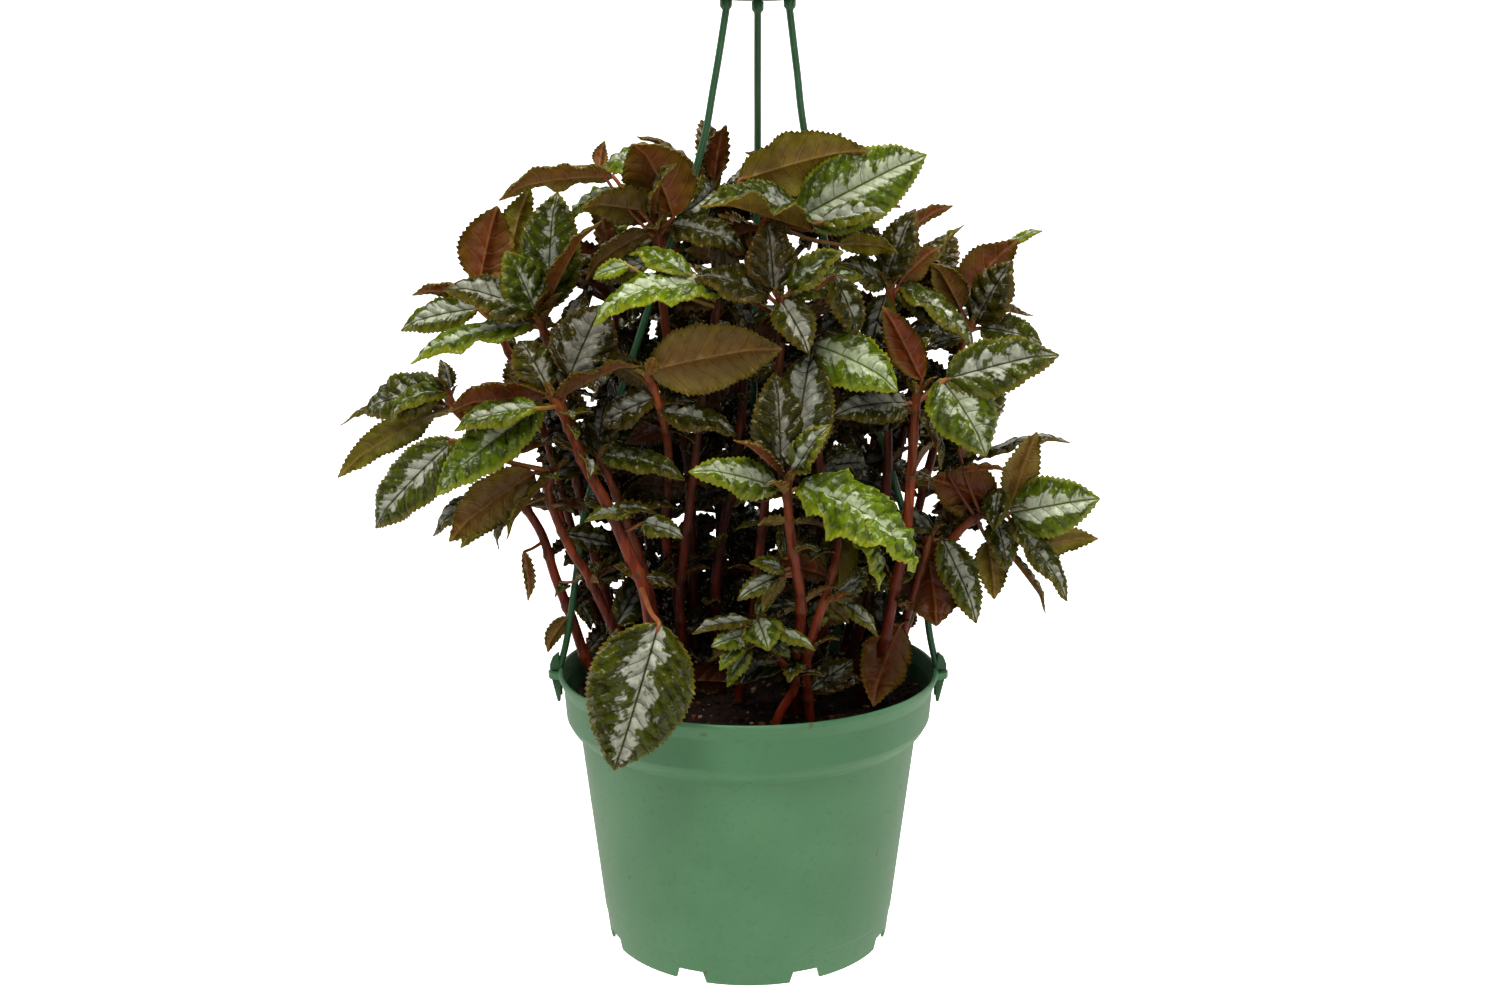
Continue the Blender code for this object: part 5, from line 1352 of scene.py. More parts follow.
def small_leaves(name, line, heights, crowd, rng):
    """Young leaves round a stem's top and small ones at its lower joints, where they cross nothing. A joint
    of a stem that the photo shows has a pair of them, and a pair behind it that fills the bush."""
    made, inner = [], name not in TONES
    lengths, chance, rise = SIDE_LENGTH, SIDE_CHANCE, SIDE_RISE
    if inner:
        lengths, chance, rise = INNER_LENGTH, INNER_CHANCE, INNER_RISE
    top, lean = line[-1], (line[-1] - line[-6]).normalized()
    turn = rng.uniform(0, math.tau)
    for k in range(3):
        angle = turn + math.tau * k / 3
        way = lean * rng.uniform(0.9, 1.6) + Vector((math.cos(angle), math.sin(angle), 0))
        made.append(young_leaf(top - lean, way, rng.uniform(*YOUNG_LENGTH), rng, f"{name}young{k}"))
    for j, at in enumerate(joint_places(line, heights)[0 if inner else 1:]):
        turn = rng.uniform(0, math.tau)
        for end in range(3 if inner else 4):
            behind = not inner and end > 1
            tries, tilt = (INNER_TRIES, INNER_TILT) if inner or behind else (CLEAR_TRIES, LEAF_TILT)
            if rng.random() > chance or at.z < SOIL_TOP + LOWEST_JOINT:
                continue
            angle, length = turn + math.pi * end * (0.667 if inner else 1.0), rng.uniform(*lengths)
            if behind:
                angle, length = math.pi * rng.uniform(*BEHIND), rng.uniform(*INNER_LENGTH)
            for _ in range(tries):
                way = Vector((math.cos(angle), math.sin(angle), rng.uniform(*rise)))
                leaf = young_leaf(at, way, length, rng, f"{name}side{j}{end}", tilt)
                mesh = leaf_mesh(leaf, SMALL_CLEARANCE)
                if inside_bush(leaf["tip"]) and crowd.clear(name, mesh):
                    made.append(leaf)
                    crowd.add(name, mesh)
                    break
                angle = math.pi * rng.uniform(*BEHIND) if behind else angle + NEXT_TURN
                length *= NEXT_SIZE
    return made


BUSH_RADIUS, BUSH_MIDDLE = 96.0, 12.0  # small leaves stay this near to the pot's axis, a little behind it
BUSH_FOOT, BUSH_SLOPE = 66.0, 0.30  # and nearer to it just over the soil


def inside_bush(place):
    """Whether a place is over the soil and within the bush, which narrows towards the soil."""
    limit = min(BUSH_RADIUS, BUSH_FOOT + (place.z - SOIL_TOP) * BUSH_SLOPE)
    return place.z > SOIL_TOP + LOWEST_TIP and math.hypot(place.x, place.y - BUSH_MIDDLE) < limit


def make_foliage(shoots, finishes):
    """One fine piece for each leafy stem."""
    crowd = crowd_of_fixed()
    for name, shoot in shoots.items():
        for leaf in shoot["leaves"]:
            crowd.add(name, leaf_mesh(leaf))
    runs = {name: stem_run(name, shoot) for name, shoot in shoots.items()}
    grown = {name: small_leaves(name, line, heights, crowd, random.Random(f"{name}{SEED}"))
             for name, (line, _, heights) in runs.items()}
    every = [leaf for shoot in shoots.values() for leaf in shoot["leaves"]]
    every += [leaf for leaves in grown.values() for leaf in leaves]
    daylight = Daylight([leaf_mesh(leaf) for leaf in every])
    pieces = []
    for name, shoot in shoots.items():
        rng = random.Random(f"{name}{SEED + 1}")
        skin = Skin()
        add_stem(skin, runs[name], daylight)
        tones = TONES.get(name)
        for n, leaf in enumerate(shoot["leaves"] + grown[name]):
            plain = tones is None or n >= len(shoot["leaves"])
            tone = rng.uniform(*HIDDEN_TONES) if plain else tones[n]
            light = daylight.along(leaf)
            bright = BROAD_SILVER.get(leaf["seed"], rng.random())
            add_blade(skin, leaf, tone, bright, light, plain)
            add_petiole(skin, leaf, tone, light)
        pieces.append(skin.make("foliage_" + name, finishes))
        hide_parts("stem_" + name)
    return pieces


# Pot

POT_ROUND, HOLE_ROUND, HUB_ROUND = 144, 32, 64
CORNER = 0.6


def rounded(profile, radius, parts=4):
    """A closed profile with each corner rounded off."""
    made = []
    count = len(profile)
    for i in range(count):
        before, here, after = (Vector(profile[(i + k) % count]) for k in (-1, 0, 1))
        first, last = before - here, after - here
        size = min(radius, first.length * 0.4, last.length * 0.4)
        start, end = here + first.normalized() * size, here + last.normalized() * size
        for k in range(parts + 1):
            u = k / parts
            made.append(tuple(start * (1 - u) ** 2 + here * 2 * u * (1 - u) + end * u * u))
    return made


def plain_object(name, points, faces):
    """A mesh object from points in millimetres, with its faces turned outwards."""
    mesh = bpy.data.meshes.new(name)
    mesh.from_pydata([in_row(p) for p in points], [], faces)
    bm = bmesh.new()
    bm.from_mesh(mesh)
    bmesh.ops.recalc_face_normals(bm, faces=bm.faces)
    bm.to_mesh(mesh)
    bm.free()
    return linked(name, mesh)


def apply_boolean(ob, others, operation):
    """Joins or cuts with each other object in turn, and removes it."""
    for other in others:
        mod = ob.modifiers.new(operation, "BOOLEAN")
        mod.operation, mod.object, mod.solver = operation, other, "EXACT"
    graph = bpy.context.evaluated_depsgraph_get()
    mesh = bpy.data.meshes.new_from_object(ob.evaluated_get(graph))
    ob.modifiers.clear()
    ob.data = mesh
    for other in others:
        bpy.data.objects.remove(other, do_unlink=True)


def finish_plastic(ob, finish, sharp):
    """Gives a moulded piece its finish, with an edge wherever its faces turn by more than some degrees."""
    ob.data.materials.clear()
    ob.data.materials.append(finish)
    ob.data.shade_smooth()
    ob.data.set_sharp_from_angle(angle=math.radians(sharp))


def notch_block(number):
    """The block that cuts one foot notch."""
    out = ear_place(360.0 * (number + 0.5) / NOTCHES, 1.0)
    side = Vector((-out.y, out.x, 0))
    points = []
    for r in (NOTCH_IN, NOTCH_OUT):
        for s, z in ((-NOTCH_WIDTH_LOW, -2.0), (NOTCH_WIDTH_LOW, -2.0), (NOTCH_WIDTH_HIGH, NOTCH_HEIGHT),
                     (-NOTCH_WIDTH_HIGH, NOTCH_HEIGHT)):
            points.append(out * r + side * s / 2 + Vector((0, 0, z)))
    return plain_object(f"notch_{number}", points, prism_faces(4))


def round_block(place, radius, low, high, name):
    """An upright round bar, to cut a hole or fill one."""
    path = [Vector((place.x, place.y, low)), Vector((place.x, place.y, high))]
    return plain_object(name, *tube(path, [radius] * 2, HOLE_ROUND))


def make_fine_pot(finish):
    """The turned pot with its ears, their holes, the foot notches and the drain holes."""
    pot = plain_object("grower_pot", *lathe(rounded(pot_profile(), CORNER), POT_ROUND))
    ears, cuts = [], []
    for i, angle in enumerate(EAR_ANGLES):
        ears.append(plain_object(f"ear_{i}", *ear_prism(angle)))
        cuts.append(round_block(ear_place(angle, EAR_HOLE_CENTRE), EAR_HOLE_RADIUS - 0.2, EAR_LOW - 5,
                                RIM_HEIGHT + 3, f"ear_hole_{i}"))
    for i in range(NOTCHES):
        cuts.append(notch_block(i))
        if i % 2:
            place = ear_place(360.0 * (i + 0.5) / NOTCHES, DRAIN_CIRCLE)
            cuts.append(round_block(place, DRAIN_RADIUS, FLOOR_LOW - 3, FLOOR_HIGH + 3, f"drain_{i}"))
    cuts.append(round_block(Vector((0, 0, 0)), DRAIN_RADIUS, FLOOR_LOW - 3, FLOOR_HIGH + 3, "drain_middle"))
    apply_boolean(pot, ears, "UNION")
    apply_boolean(pot, cuts, "DIFFERENCE")
    finish_plastic(pot, finish, 35)
    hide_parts("pot")
    return pot


# Soil

SOIL_ROUND, SOIL_FINE_RINGS = 120, 44
CRUMBS = 1200
CRUMB_SIZE = (0.5, 2.6)
SOIL_EDGE = 77.9
SOIL_SIDES = ((77.3, 100.8), (WALL_TOP_RADIUS - WALL - GAP, WALL_TOP - GAP),
              (wall_radius(FLOOR_HIGH + GAP) - WALL - GAP, FLOOR_HIGH + GAP))  # radius and height downwards


def crumb(rng):
    """An uneven lump: points and faces of a stretched, jolted ball of 18 points."""
    points = [(0, 0, 1), (0, 0, -1)]
    ring = [(math.cos(math.tau * k / 6), math.sin(math.tau * k / 6)) for k in range(6)]
    points += [(x * 0.8, y * 0.8, 0.6) for x, y in ring] + [(x * 0.8, y * 0.8, -0.6) for x, y in ring]
    stretch = [rng.uniform(0.5, 1.0), rng.uniform(0.5, 1.3), rng.uniform(0.35, 0.7)]
    made = [Vector([c * f * rng.uniform(0.75, 1.2) for c, f in zip(p, stretch)]) for p in points]
    faces = []
    for k in range(6):
        j = (k + 1) % 6
        faces += [(0, 2 + k, 2 + j), (1, 8 + j, 8 + k), (2 + k, 8 + k, 8 + j, 2 + j)]
    return made, faces


def lumpy_height(x, y):
    """The height of the mix's top: broad swells and small lumps."""
    return (SOIL_TOP - 0.4 + 1.3 * noise.noise((x * 0.06, y * 0.06, 3))
            + 1.2 * noise.noise((x * 0.3, y * 0.3, 7)))


def soil_body():
    """Points and faces of the mix: rings over its lumpy top, and then down its plain sides in the pot."""
    points = [(0.0, 0.0, SOIL_TOP)]
    for ring in range(1, SOIL_FINE_RINGS + 1):
        for k in range(SOIL_ROUND):
            x, y = turned(SOIL_EDGE * ring / SOIL_FINE_RINGS, k, SOIL_ROUND)
            points.append((x, y, lumpy_height(x, y) if ring < SOIL_FINE_RINGS else SOIL_TOP - 1.2))
    points += [(*turned(r, k, SOIL_ROUND), z) for r, z in SOIL_SIDES for k in range(SOIL_ROUND)]
    rings = SOIL_FINE_RINGS + len(SOIL_SIDES)
    faces = [(0, 1 + k, 1 + (k + 1) % SOIL_ROUND) for k in range(SOIL_ROUND)]
    for ring in range(rings - 1):
        for k in range(SOIL_ROUND):
            a, b = 1 + ring * SOIL_ROUND + k, 1 + ring * SOIL_ROUND + (k + 1) % SOIL_ROUND
            faces.append((a, a + SOIL_ROUND, b + SOIL_ROUND, b))
    last = 1 + (rings - 1) * SOIL_ROUND
    return points, faces + [tuple(reversed(range(last, last + SOIL_ROUND)))]


CRUMB_EDGE = 0.985  # crumbs stay this near to the wall, as a share of the soil's radius
CRUMB_SPREAD = (0.4, 1.0)
CRUMB_HEIGHT = (-0.6, 0.5)  # over the soil's top
CRUMB_SHAPES = (1.0, 1.0, 1.0, 2.4)  # one in four is a longer bit of bark


def make_fine_soil(finishes):
    """The mix, with loose crumbs and bark bits on its top."""
    rng = random.Random(SEED + 2)
    skin = Skin()
    skin.add(*soil_body(), 0)
    for _ in range(CRUMBS):
        r, a = SOIL_EDGE * CRUMB_EDGE * math.sqrt(rng.random()), rng.uniform(0, math.tau)
        size = rng.uniform(*CRUMB_SIZE) * rng.uniform(*CRUMB_SPREAD)
        place = Vector((r * math.cos(a), r * math.sin(a), SOIL_TOP + rng.uniform(*CRUMB_HEIGHT)))
        made, sides = crumb(rng)
        turn = rng.uniform(0, math.tau)
        long = rng.choice(CRUMB_SHAPES)
        spots = []
        for p in made:
            x, y = p.x * size * long, p.y * size
            spots.append((place.x + x * math.cos(turn) - y * math.sin(turn),
                          place.y + x * math.sin(turn) + y * math.cos(turn), place.z + p.z * size))
        skin.add(spots, sides, 0, tone=rng.random(), joint=1.0)
    soil = skin.make("potting_mix", finishes, sharp=0.7)
    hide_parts("soil")
    return soil


# Hanger

FINE_SIDES = 16
FINE_STRAND_RADIUS = 1.5


def make_fine_strand(name, spec, finish):
    """A strand's round rod with its collar and head, its stop and its barb."""
    angle = EAR_ANGLES[spec["ear"]]
    line = strand_path(spec)
    foot, head = ear_place(angle, EAR_HOLE_CENTRE), line[-1]
    up = Vector((0, 0, 1))
    body, radii = smooth_line([line[0] + up * 0.4] + line[1:], [FINE_STRAND_RADIUS] * len(line), 8)
    path = [foot + up * (BARB_TIP + 3), foot + up * (EAR_HIGH + GAP)] + body
    sizes = [NECK_RADIUS, NECK_RADIUS] + radii
    for z, r in ((HUB_LOW - GAP - 4.6, FINE_STRAND_RADIUS), (HUB_LOW - GAP - 3.6, COLLAR_RADIUS * 0.94),
                 (HUB_LOW - GAP - 3.0, COLLAR_RADIUS), (HUB_LOW - GAP - 0.3, COLLAR_RADIUS),
                 (HUB_LOW - GAP, COLLAR_RADIUS * 0.9), (HUB_LOW - GAP + 0.02, NECK_RADIUS),
                 (HUB_HIGH + GAP, NECK_RADIUS), (HUB_HIGH + GAP + 0.02, COLLAR_RADIUS * 0.95),
                 (HUB_HIGH + GAP + 0.4, COLLAR_RADIUS), (HUB_HIGH + 1.7, COLLAR_RADIUS * 0.92),
                 (HUB_HIGH + 2.6, COLLAR_RADIUS * 0.5)):
        path.append(Vector((head.x, head.y, z)))
        sizes.append(r)
    ob = plain_object(name + "_rod", *tube(path, sizes, FINE_SIDES))
    ends = []
    for i, end in enumerate(strand_ends(angle)):
        piece = plain_object(f"{name}_end_{i}", *end)
        soften(piece, 0.45)
        ends.append(piece)
    apply_boolean(ob, ends, "UNION")
    finish_plastic(ob, finish, 40)
    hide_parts(name)
    return ob


def soften(ob, width):
    """Rounds a plain piece's edges."""
    bevel = ob.modifiers.new("soft_edges", "BEVEL")
    bevel.width = width * MM
    bevel.segments = 3
    bevel.limit_method = "ANGLE"


def make_fine_hook(finish):
    """The hub with its three holes and the hook over it."""
    centre = Vector((HUB_X, 0, 0))
    arc = HOOK_INNER_RADIUS + HOOK_ROD_RADIUS
    mid = HANG_HEIGHT - HOOK_INNER_RADIUS
    line = [(0, HUB_LOW + 1), (0, HUB_HIGH + 4), (0, HOOK_JOG_LOW), (arc * 0.12, HOOK_JOG_LOW + 6),
            (arc * 0.88, HOOK_JOG_HIGH - 6), (arc, HOOK_JOG_HIGH), (arc, mid)]
    line += [(arc * math.cos(t), mid + arc * math.sin(t)) for t in [math.pi * k / 12 for k in range(1, 13)]]
    line += [(-arc - 0.2, mid - HOOK_TIP_DROP * 0.5), (-arc - HOOK_TIP_FLARE, mid - HOOK_TIP_DROP + 1.2)]
    radii = [HOOK_ROD_RADIUS + 1.2, HOOK_ROD_RADIUS + 0.3] + [HOOK_ROD_RADIUS] * (len(line) - 2)
    path, radii = smooth_line([centre + Vector((x, 0, z)) for x, z in line], radii, 4)
    rod = plain_object("hook_rod", *rounded_tube(path, radii, FINE_SIDES))
    profile = rounded([(HUB_RADIUS, HUB_HIGH), (HUB_RADIUS, HUB_LOW), (0.4, HUB_LOW), (0.4, HUB_HIGH)], 1.0)
    hub = plain_object("hook_and_hub", *lathe(profile, HUB_ROUND))
    for v in hub.data.vertices:
        v.co.x += HUB_X * MM
    plug = round_block(centre, 1.2, HUB_LOW + 0.05, HUB_HIGH - 0.05, "hub_middle")
    holes = []
    for name, spec in STRANDS.items():
        place = centre + Vector((*spec["top"], 0)) * STRAND_TOP_RADIUS
        holes.append(round_block(place, HUB_HOLE_RADIUS, HUB_LOW - 4, HUB_HIGH + 4, "hub_hole_" + name))
    apply_boolean(hub, [plug, rod], "UNION")
    apply_boolean(hub, holes, "DIFFERENCE")
    finish_plastic(hub, finish, 40)
    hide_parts("hanger_hook")
    return hub


# Finishes

class Wires:
    """A node tree while it is wired: each call adds one node and gives its output."""

    def __init__(self, tree):
        self.tree = tree

    def node(self, kind, settings=None, **inputs):
        made = self.tree.nodes.new(kind)
        for name, value in (settings or {}).items():
            setattr(made, name, value)
        for name, value in inputs.items():
            self.feed(made.inputs[name.replace("_", " ")], value)
        return made

    def feed(self, socket, value):
        if isinstance(value, bpy.types.NodeSocket):
            self.tree.links.new(value, socket)
        elif isinstance(value, tuple) and len(value) == 3 and socket.type == "RGBA":
            socket.default_value = (*value, 1.0)
        else:
            socket.default_value = value

    def mark(self, name):
        return self.node("ShaderNodeAttribute", {"attribute_name": name}).outputs["Fac"]

    def math(self, operation, a, b=0.0):
        made = self.node("ShaderNodeMath", {"operation": operation})
        self.feed(made.inputs[0], a)
        self.feed(made.inputs[1], b)
        return made.outputs[0]

    def times(self, a, b):
        return self.math("MULTIPLY", a, b)

    def plus(self, a, b):
        return self.math("ADD", a, b)

    def minus(self, a, b):
        return self.math("SUBTRACT", a, b)

    def band(self, value, low, high, start=0.0, end=1.0):
        """A smooth step: start below low, end above high."""
        made = self.node("ShaderNodeMapRange", {"interpolation_type": "SMOOTHSTEP"}, Value=value)
        for name, number in (("From Min", low), ("From Max", high), ("To Min", start), ("To Max", end)):
            made.inputs[name].default_value = number
        return made.outputs["Result"]

    def blend(self, share, one, two):
        made = self.node("ShaderNodeMix", {"data_type": "RGBA"})
        self.feed(made.inputs[0], share)
        self.feed(made.inputs[6], one)
        self.feed(made.inputs[7], two)
        return made.outputs[2]

    def ramp(self, value, stops):
        """A colour ramp through (place, colour) stops."""
        made = self.node("ShaderNodeValToRGB", Fac=value)
        cells = made.color_ramp.elements
        while len(cells) < len(stops):
            cells.new(0.5)
        for cell, (place, colour) in zip(cells, stops):
            cell.position, cell.color = place, (*colour, 1.0)
        return made.outputs["Color"]

    def place_on_piece(self):
        return self.node("ShaderNodeTexCoord").outputs["Object"]

    def cloud(self, scale, detail=3.0, stretch=None):
        """Noise fixed to the piece, 0 to 1; scale is in spots per metre."""
        place = self.place_on_piece()
        if stretch:
            place = self.node("ShaderNodeMapping", Vector=place, Scale=stretch).outputs[0]
        return self.node("ShaderNodeTexNoise", Vector=place, Scale=scale, Detail=detail).outputs["Fac"]

    def streaks(self, x, y, z):
        """Noise that runs in streaks where one of its places changes faster than another."""
        place = self.node("ShaderNodeCombineXYZ", X=x, Y=y, Z=z).outputs[0]
        return self.node("ShaderNodeTexNoise", Vector=place, Scale=1.0, Detail=2.0).outputs["Fac"]

    def cells(self, scale):
        """Distance to the nearest wall of small cells, fixed to the piece."""
        settings, place = {"feature": "DISTANCE_TO_EDGE"}, self.place_on_piece()
        return self.node("ShaderNodeTexVoronoi", settings, Vector=place, Scale=scale).outputs["Distance"]

    def group(self, tree, **inputs):
        made = self.node("ShaderNodeGroup", {"node_tree": tree})
        for name, value in inputs.items():
            self.feed(made.inputs[name.replace("_", " ")], value)
        return made.outputs


def start_material(name):
    """A new material, its wires and its Principled BSDF."""
    finish = bpy.data.materials.new(name)
    finish.use_nodes = True
    shader = next(n for n in finish.node_tree.nodes if n.type == "BSDF_PRINCIPLED")
    return finish, Wires(finish.node_tree), shader


def start_group(name, colours, values):
    """A shader node group that puts out a colour: its wires, the sockets of its inputs and its output."""
    tree = bpy.data.node_groups.new(name, "ShaderNodeTree")
    for label in colours:
        tree.interface.new_socket(label, in_out="INPUT", socket_type="NodeSocketColor")
    for label in values:
        tree.interface.new_socket(label, in_out="INPUT", socket_type="NodeSocketFloat")
    tree.interface.new_socket("Color", in_out="OUTPUT", socket_type="NodeSocketColor")
    w = Wires(tree)
    return w, w.node("NodeGroupInput").outputs, w.node("NodeGroupOutput").inputs["Color"]


def mottle_group():
    """Uneven colour: two colours mixed in soft clouds, darkened by fine specks."""
    w, given, out = start_group("mottle", ("First", "Second"), ("Cloud Scale", "Speck Scale", "Specks"))
    colour = w.blend(w.band(w.cloud(given["Cloud Scale"], 4.0), 0.35, 0.65), given["First"], given["Second"])
    speck = w.times(w.band(w.cloud(given["Speck Scale"], 2.0), 0.66, 0.74), given["Specks"])
    w.feed(out, w.blend(speck, colour, (0.01, 0.008, 0.006)))
    return w.tree


def set_surface(w, shader, colour, roughness, specular):
    """Feeds a material's colour, roughness and shine."""
    w.feed(shader.inputs["Base Color"], colour)
    w.feed(shader.inputs["Roughness"], roughness)
    shader.inputs["Specular IOR Level"].default_value = specular


def bump(w, shader, height, strength, distance):
    """Fine relief from a height."""
    made = w.node("ShaderNodeBump", Height=height, Strength=strength, Distance=distance)
    w.feed(shader.inputs["Normal"], made.outputs["Normal"])


def shade_group():
    """The dark inside of the plant: a colour scaled by how much daylight reaches its place."""
    w, given, out = start_group("inner_shade", ("Plain",), ("Daylight",))
    scaled = w.node("ShaderNodeVectorMath", {"operation": "SCALE"}, Scale=given["Daylight"])
    w.feed(scaled.inputs[0], given["Plain"])
    w.feed(out, scaled.outputs[0])
    return w.tree


# A blade's colours as stops from dark bronze to lime, then three that are the same on every blade
GROUND = ((0.0, (0.036, 0.019, 0.002)), (0.35, (0.042, 0.046, 0.002)), (0.65, (0.064, 0.098, 0.003)),
          (1.0, (0.105, 0.170, 0.004)))
MARGIN = ((0.0, (0.085, 0.036, 0.005)), (0.4, (0.135, 0.108, 0.007)), (0.7, (0.21, 0.22, 0.009)),
          (1.0, (0.30, 0.35, 0.011)))
SILVER = ((0.0, (0.24, 0.23, 0.19)), (0.5, (0.41, 0.44, 0.36)), (1.0, (0.48, 0.56, 0.36)))
MIDRIB = ((0.0, (0.030, 0.015, 0.006)), (0.45, (0.075, 0.062, 0.014)), (1.0, (0.15, 0.22, 0.018)))
UNDER_MIDDLE = ((0.0, (0.175, 0.019, 0.003)), (0.28, (0.170, 0.040, 0.004)), (0.42, (0.205, 0.115, 0.018)),
                (0.7, (0.17, 0.125, 0.006)), (1.0, (0.28, 0.29, 0.008)))
UNDER_OUTER = ((0.0, (0.175, 0.033, 0.003)), (0.28, (0.180, 0.088, 0.005)), (0.42, (0.250, 0.175, 0.028)),
               (0.7, (0.24, 0.22, 0.006)), (1.0, (0.35, 0.38, 0.008)))
DEEP, NERVE_TAN, UNDER_TAN = (0.004, 0.006, 0.001), (0.085, 0.058, 0.008), (0.42, 0.25, 0.08)


def leaf_finish(shade):
    """Both sides of a blade: silver between dark nerves with painted shade in their creases above, olive to
    red-brown with fine nerves below.
    """
    finish, w, shader = start_material("pilea_leaf")
    inset, rim, rib = w.mark("inset"), w.mark("rim"), w.mark("rib")
    tone, under, bright = w.mark("tone"), w.mark("under"), w.mark("bright")
    width = w.plus(w.plus(inset, rim), 0.01)
    across = w.math("DIVIDE", inset, width)
    wave = w.cloud(170.0, 2.5)
    fine = w.cloud(620.0, 3.0)
    net = w.cells(380.0)
    streak = w.streaks(w.times(rib, 3.6), w.times(inset, 0.35), w.times(bright, 40.0))
    between = w.times(w.math("ABSOLUTE", w.minus(w.math("FRACT", rib), 0.5)), 2.0)
    nerve = w.band(between, 0.88, 0.99)
    midline = w.band(inset, 0.20, 0.55, 1.0, 0.0)
    edge = w.band(rim, 0.3, 2.6, 1.0, 0.0)

    at = dict(across=across, wave=wave, fine=fine, net=net, between=between, nerve=nerve, midline=midline,
              inset=inset, edge=edge, tone=tone, bright=bright, streak=streak)
    upper, back = leaf_upper(w, at), leaf_under(w, at)
    colour = w.group(shade, Plain=w.blend(under, upper, back), Daylight=w.mark("shade"))["Color"]
    gloss = w.band(wave, 0.3, 0.7, 0.16, 0.30)
    set_surface(w, shader, colour, w.plus(gloss, w.times(under, 0.22)), 0.19)
    puckers = w.times(w.cloud(260.0, 1.0), 3.0)
    pillow = w.times(w.times(between, between), w.band(tone, 0.4, 0.9, 1.9, 0.7))
    height = w.minus(puckers, pillow)
    bump(w, shader, height, w.band(under, 0.0, 1.0, 0.75, 0.35), 0.0008)
    return finish


def leaf_upper(w, at):
    """The upper side's colour. The silver reaches further out between two nerves than on them."""
    tone, nerve, midline = at["tone"], at["nerve"], at["midline"]
    reach = w.plus(w.band(at["bright"], 0.0, 1.0, 0.16, 0.48), w.times(at["wave"], 1.3))
    reach = w.plus(reach, w.times(at["streak"], 0.5))
    inside = w.minus(w.minus(reach, 0.9), at["across"])
    silver = w.times(w.band(inside, -0.06, 0.12), w.band(at["streak"], 0.28, 0.50, 0.65, 1.0))
    flecks = w.times(w.band(at["fine"], 0.62, 0.67), w.band(inside, -0.26, -0.06))
    silver = w.math("MAXIMUM", silver, w.times(flecks, 0.30))
    silver = w.times(silver, w.minus(1.0, w.times(nerve, 0.75)))
    silver = w.times(silver, w.minus(1.0, w.times(midline, 0.92)))
    silver = w.times(silver, w.band(tone, 0.0, 0.35, 0.55, 0.95))

    ground = w.ramp(tone, GROUND)
    ground = w.blend(w.band(at["wave"], 0.44, 0.62, 0.0, 0.50), ground, DEEP)
    # Painted shade: darker in the creases along the nerves
    ground = w.blend(w.band(at["between"], 0.62, 0.88, 0.0, 0.35), ground, (0.004, 0.005, 0.001))
    ground = w.blend(w.times(nerve, 0.65), ground, NERVE_TAN)
    upper = w.blend(w.times(at["edge"], 0.7), ground, w.ramp(tone, MARGIN))
    upper = w.blend(silver, upper, w.ramp(tone, SILVER))
    return w.blend(w.times(midline, 0.8), upper, w.ramp(tone, MIDRIB))


def leaf_under(w, at):
    """The under side's colour: redder by the midrib, more olive by the margin, with fine nerves and painted
    shade beside them.
    """
    tone = at["tone"]
    back = w.blend(w.band(at["across"], 0.15, 0.85), w.ramp(tone, UNDER_MIDDLE), w.ramp(tone, UNDER_OUTER))
    back = w.blend(w.band(at["wave"], 0.38, 0.70, 0.0, 0.35), back, (0.075, 0.030, 0.009))
    back = w.blend(w.times(at["edge"], 0.4), back, (0.20, 0.17, 0.014))
    back = w.blend(w.band(at["net"], 0.0, 0.07, 0.16, 0.0), back, (0.045, 0.018, 0.008))
    # Painted shade: dark lines either side of each side nerve
    painted_shade_beside = w.times(w.band(at["between"], 0.55, 0.80), w.band(at["between"], 0.80, 0.95, 1.0, 0.0))
    back = w.blend(w.times(painted_shade_beside, 0.30), back, (0.060, 0.022, 0.006))
    pale = w.blend(0.35, back, UNDER_TAN)
    back = w.blend(w.times(at["nerve"], 0.55), back, pale)
    return w.blend(w.band(at["inset"], 0.30, 0.80, 0.7, 0.0), back, pale)


# A stem's colours from the soil to its top, and a stalk's from a bronze leaf to a lime one
BARK_RED = ((0.0, (0.15, 0.013, 0.006)), (0.45, (0.30, 0.036, 0.011)), (1.0, (0.36, 0.082, 0.016)))
BARK_DARK = ((0.0, (0.055, 0.006, 0.003)), (1.0, (0.16, 0.022, 0.006)))
STALKS = ((0.0, (0.20, 0.038, 0.018)), (0.5, (0.32, 0.115, 0.036)), (1.0, (0.36, 0.26, 0.04)))
# Crumbs and bark bits, most of them as dark as the mix
CRUMB_COLOURS = ((0.0, (0.007, 0.004, 0.002)), (0.55, (0.020, 0.009, 0.005)), (0.8, (0.065, 0.020, 0.008)),
                 (0.95, (0.15, 0.055, 0.022)), (1.0, (0.34, 0.26, 0.18)))


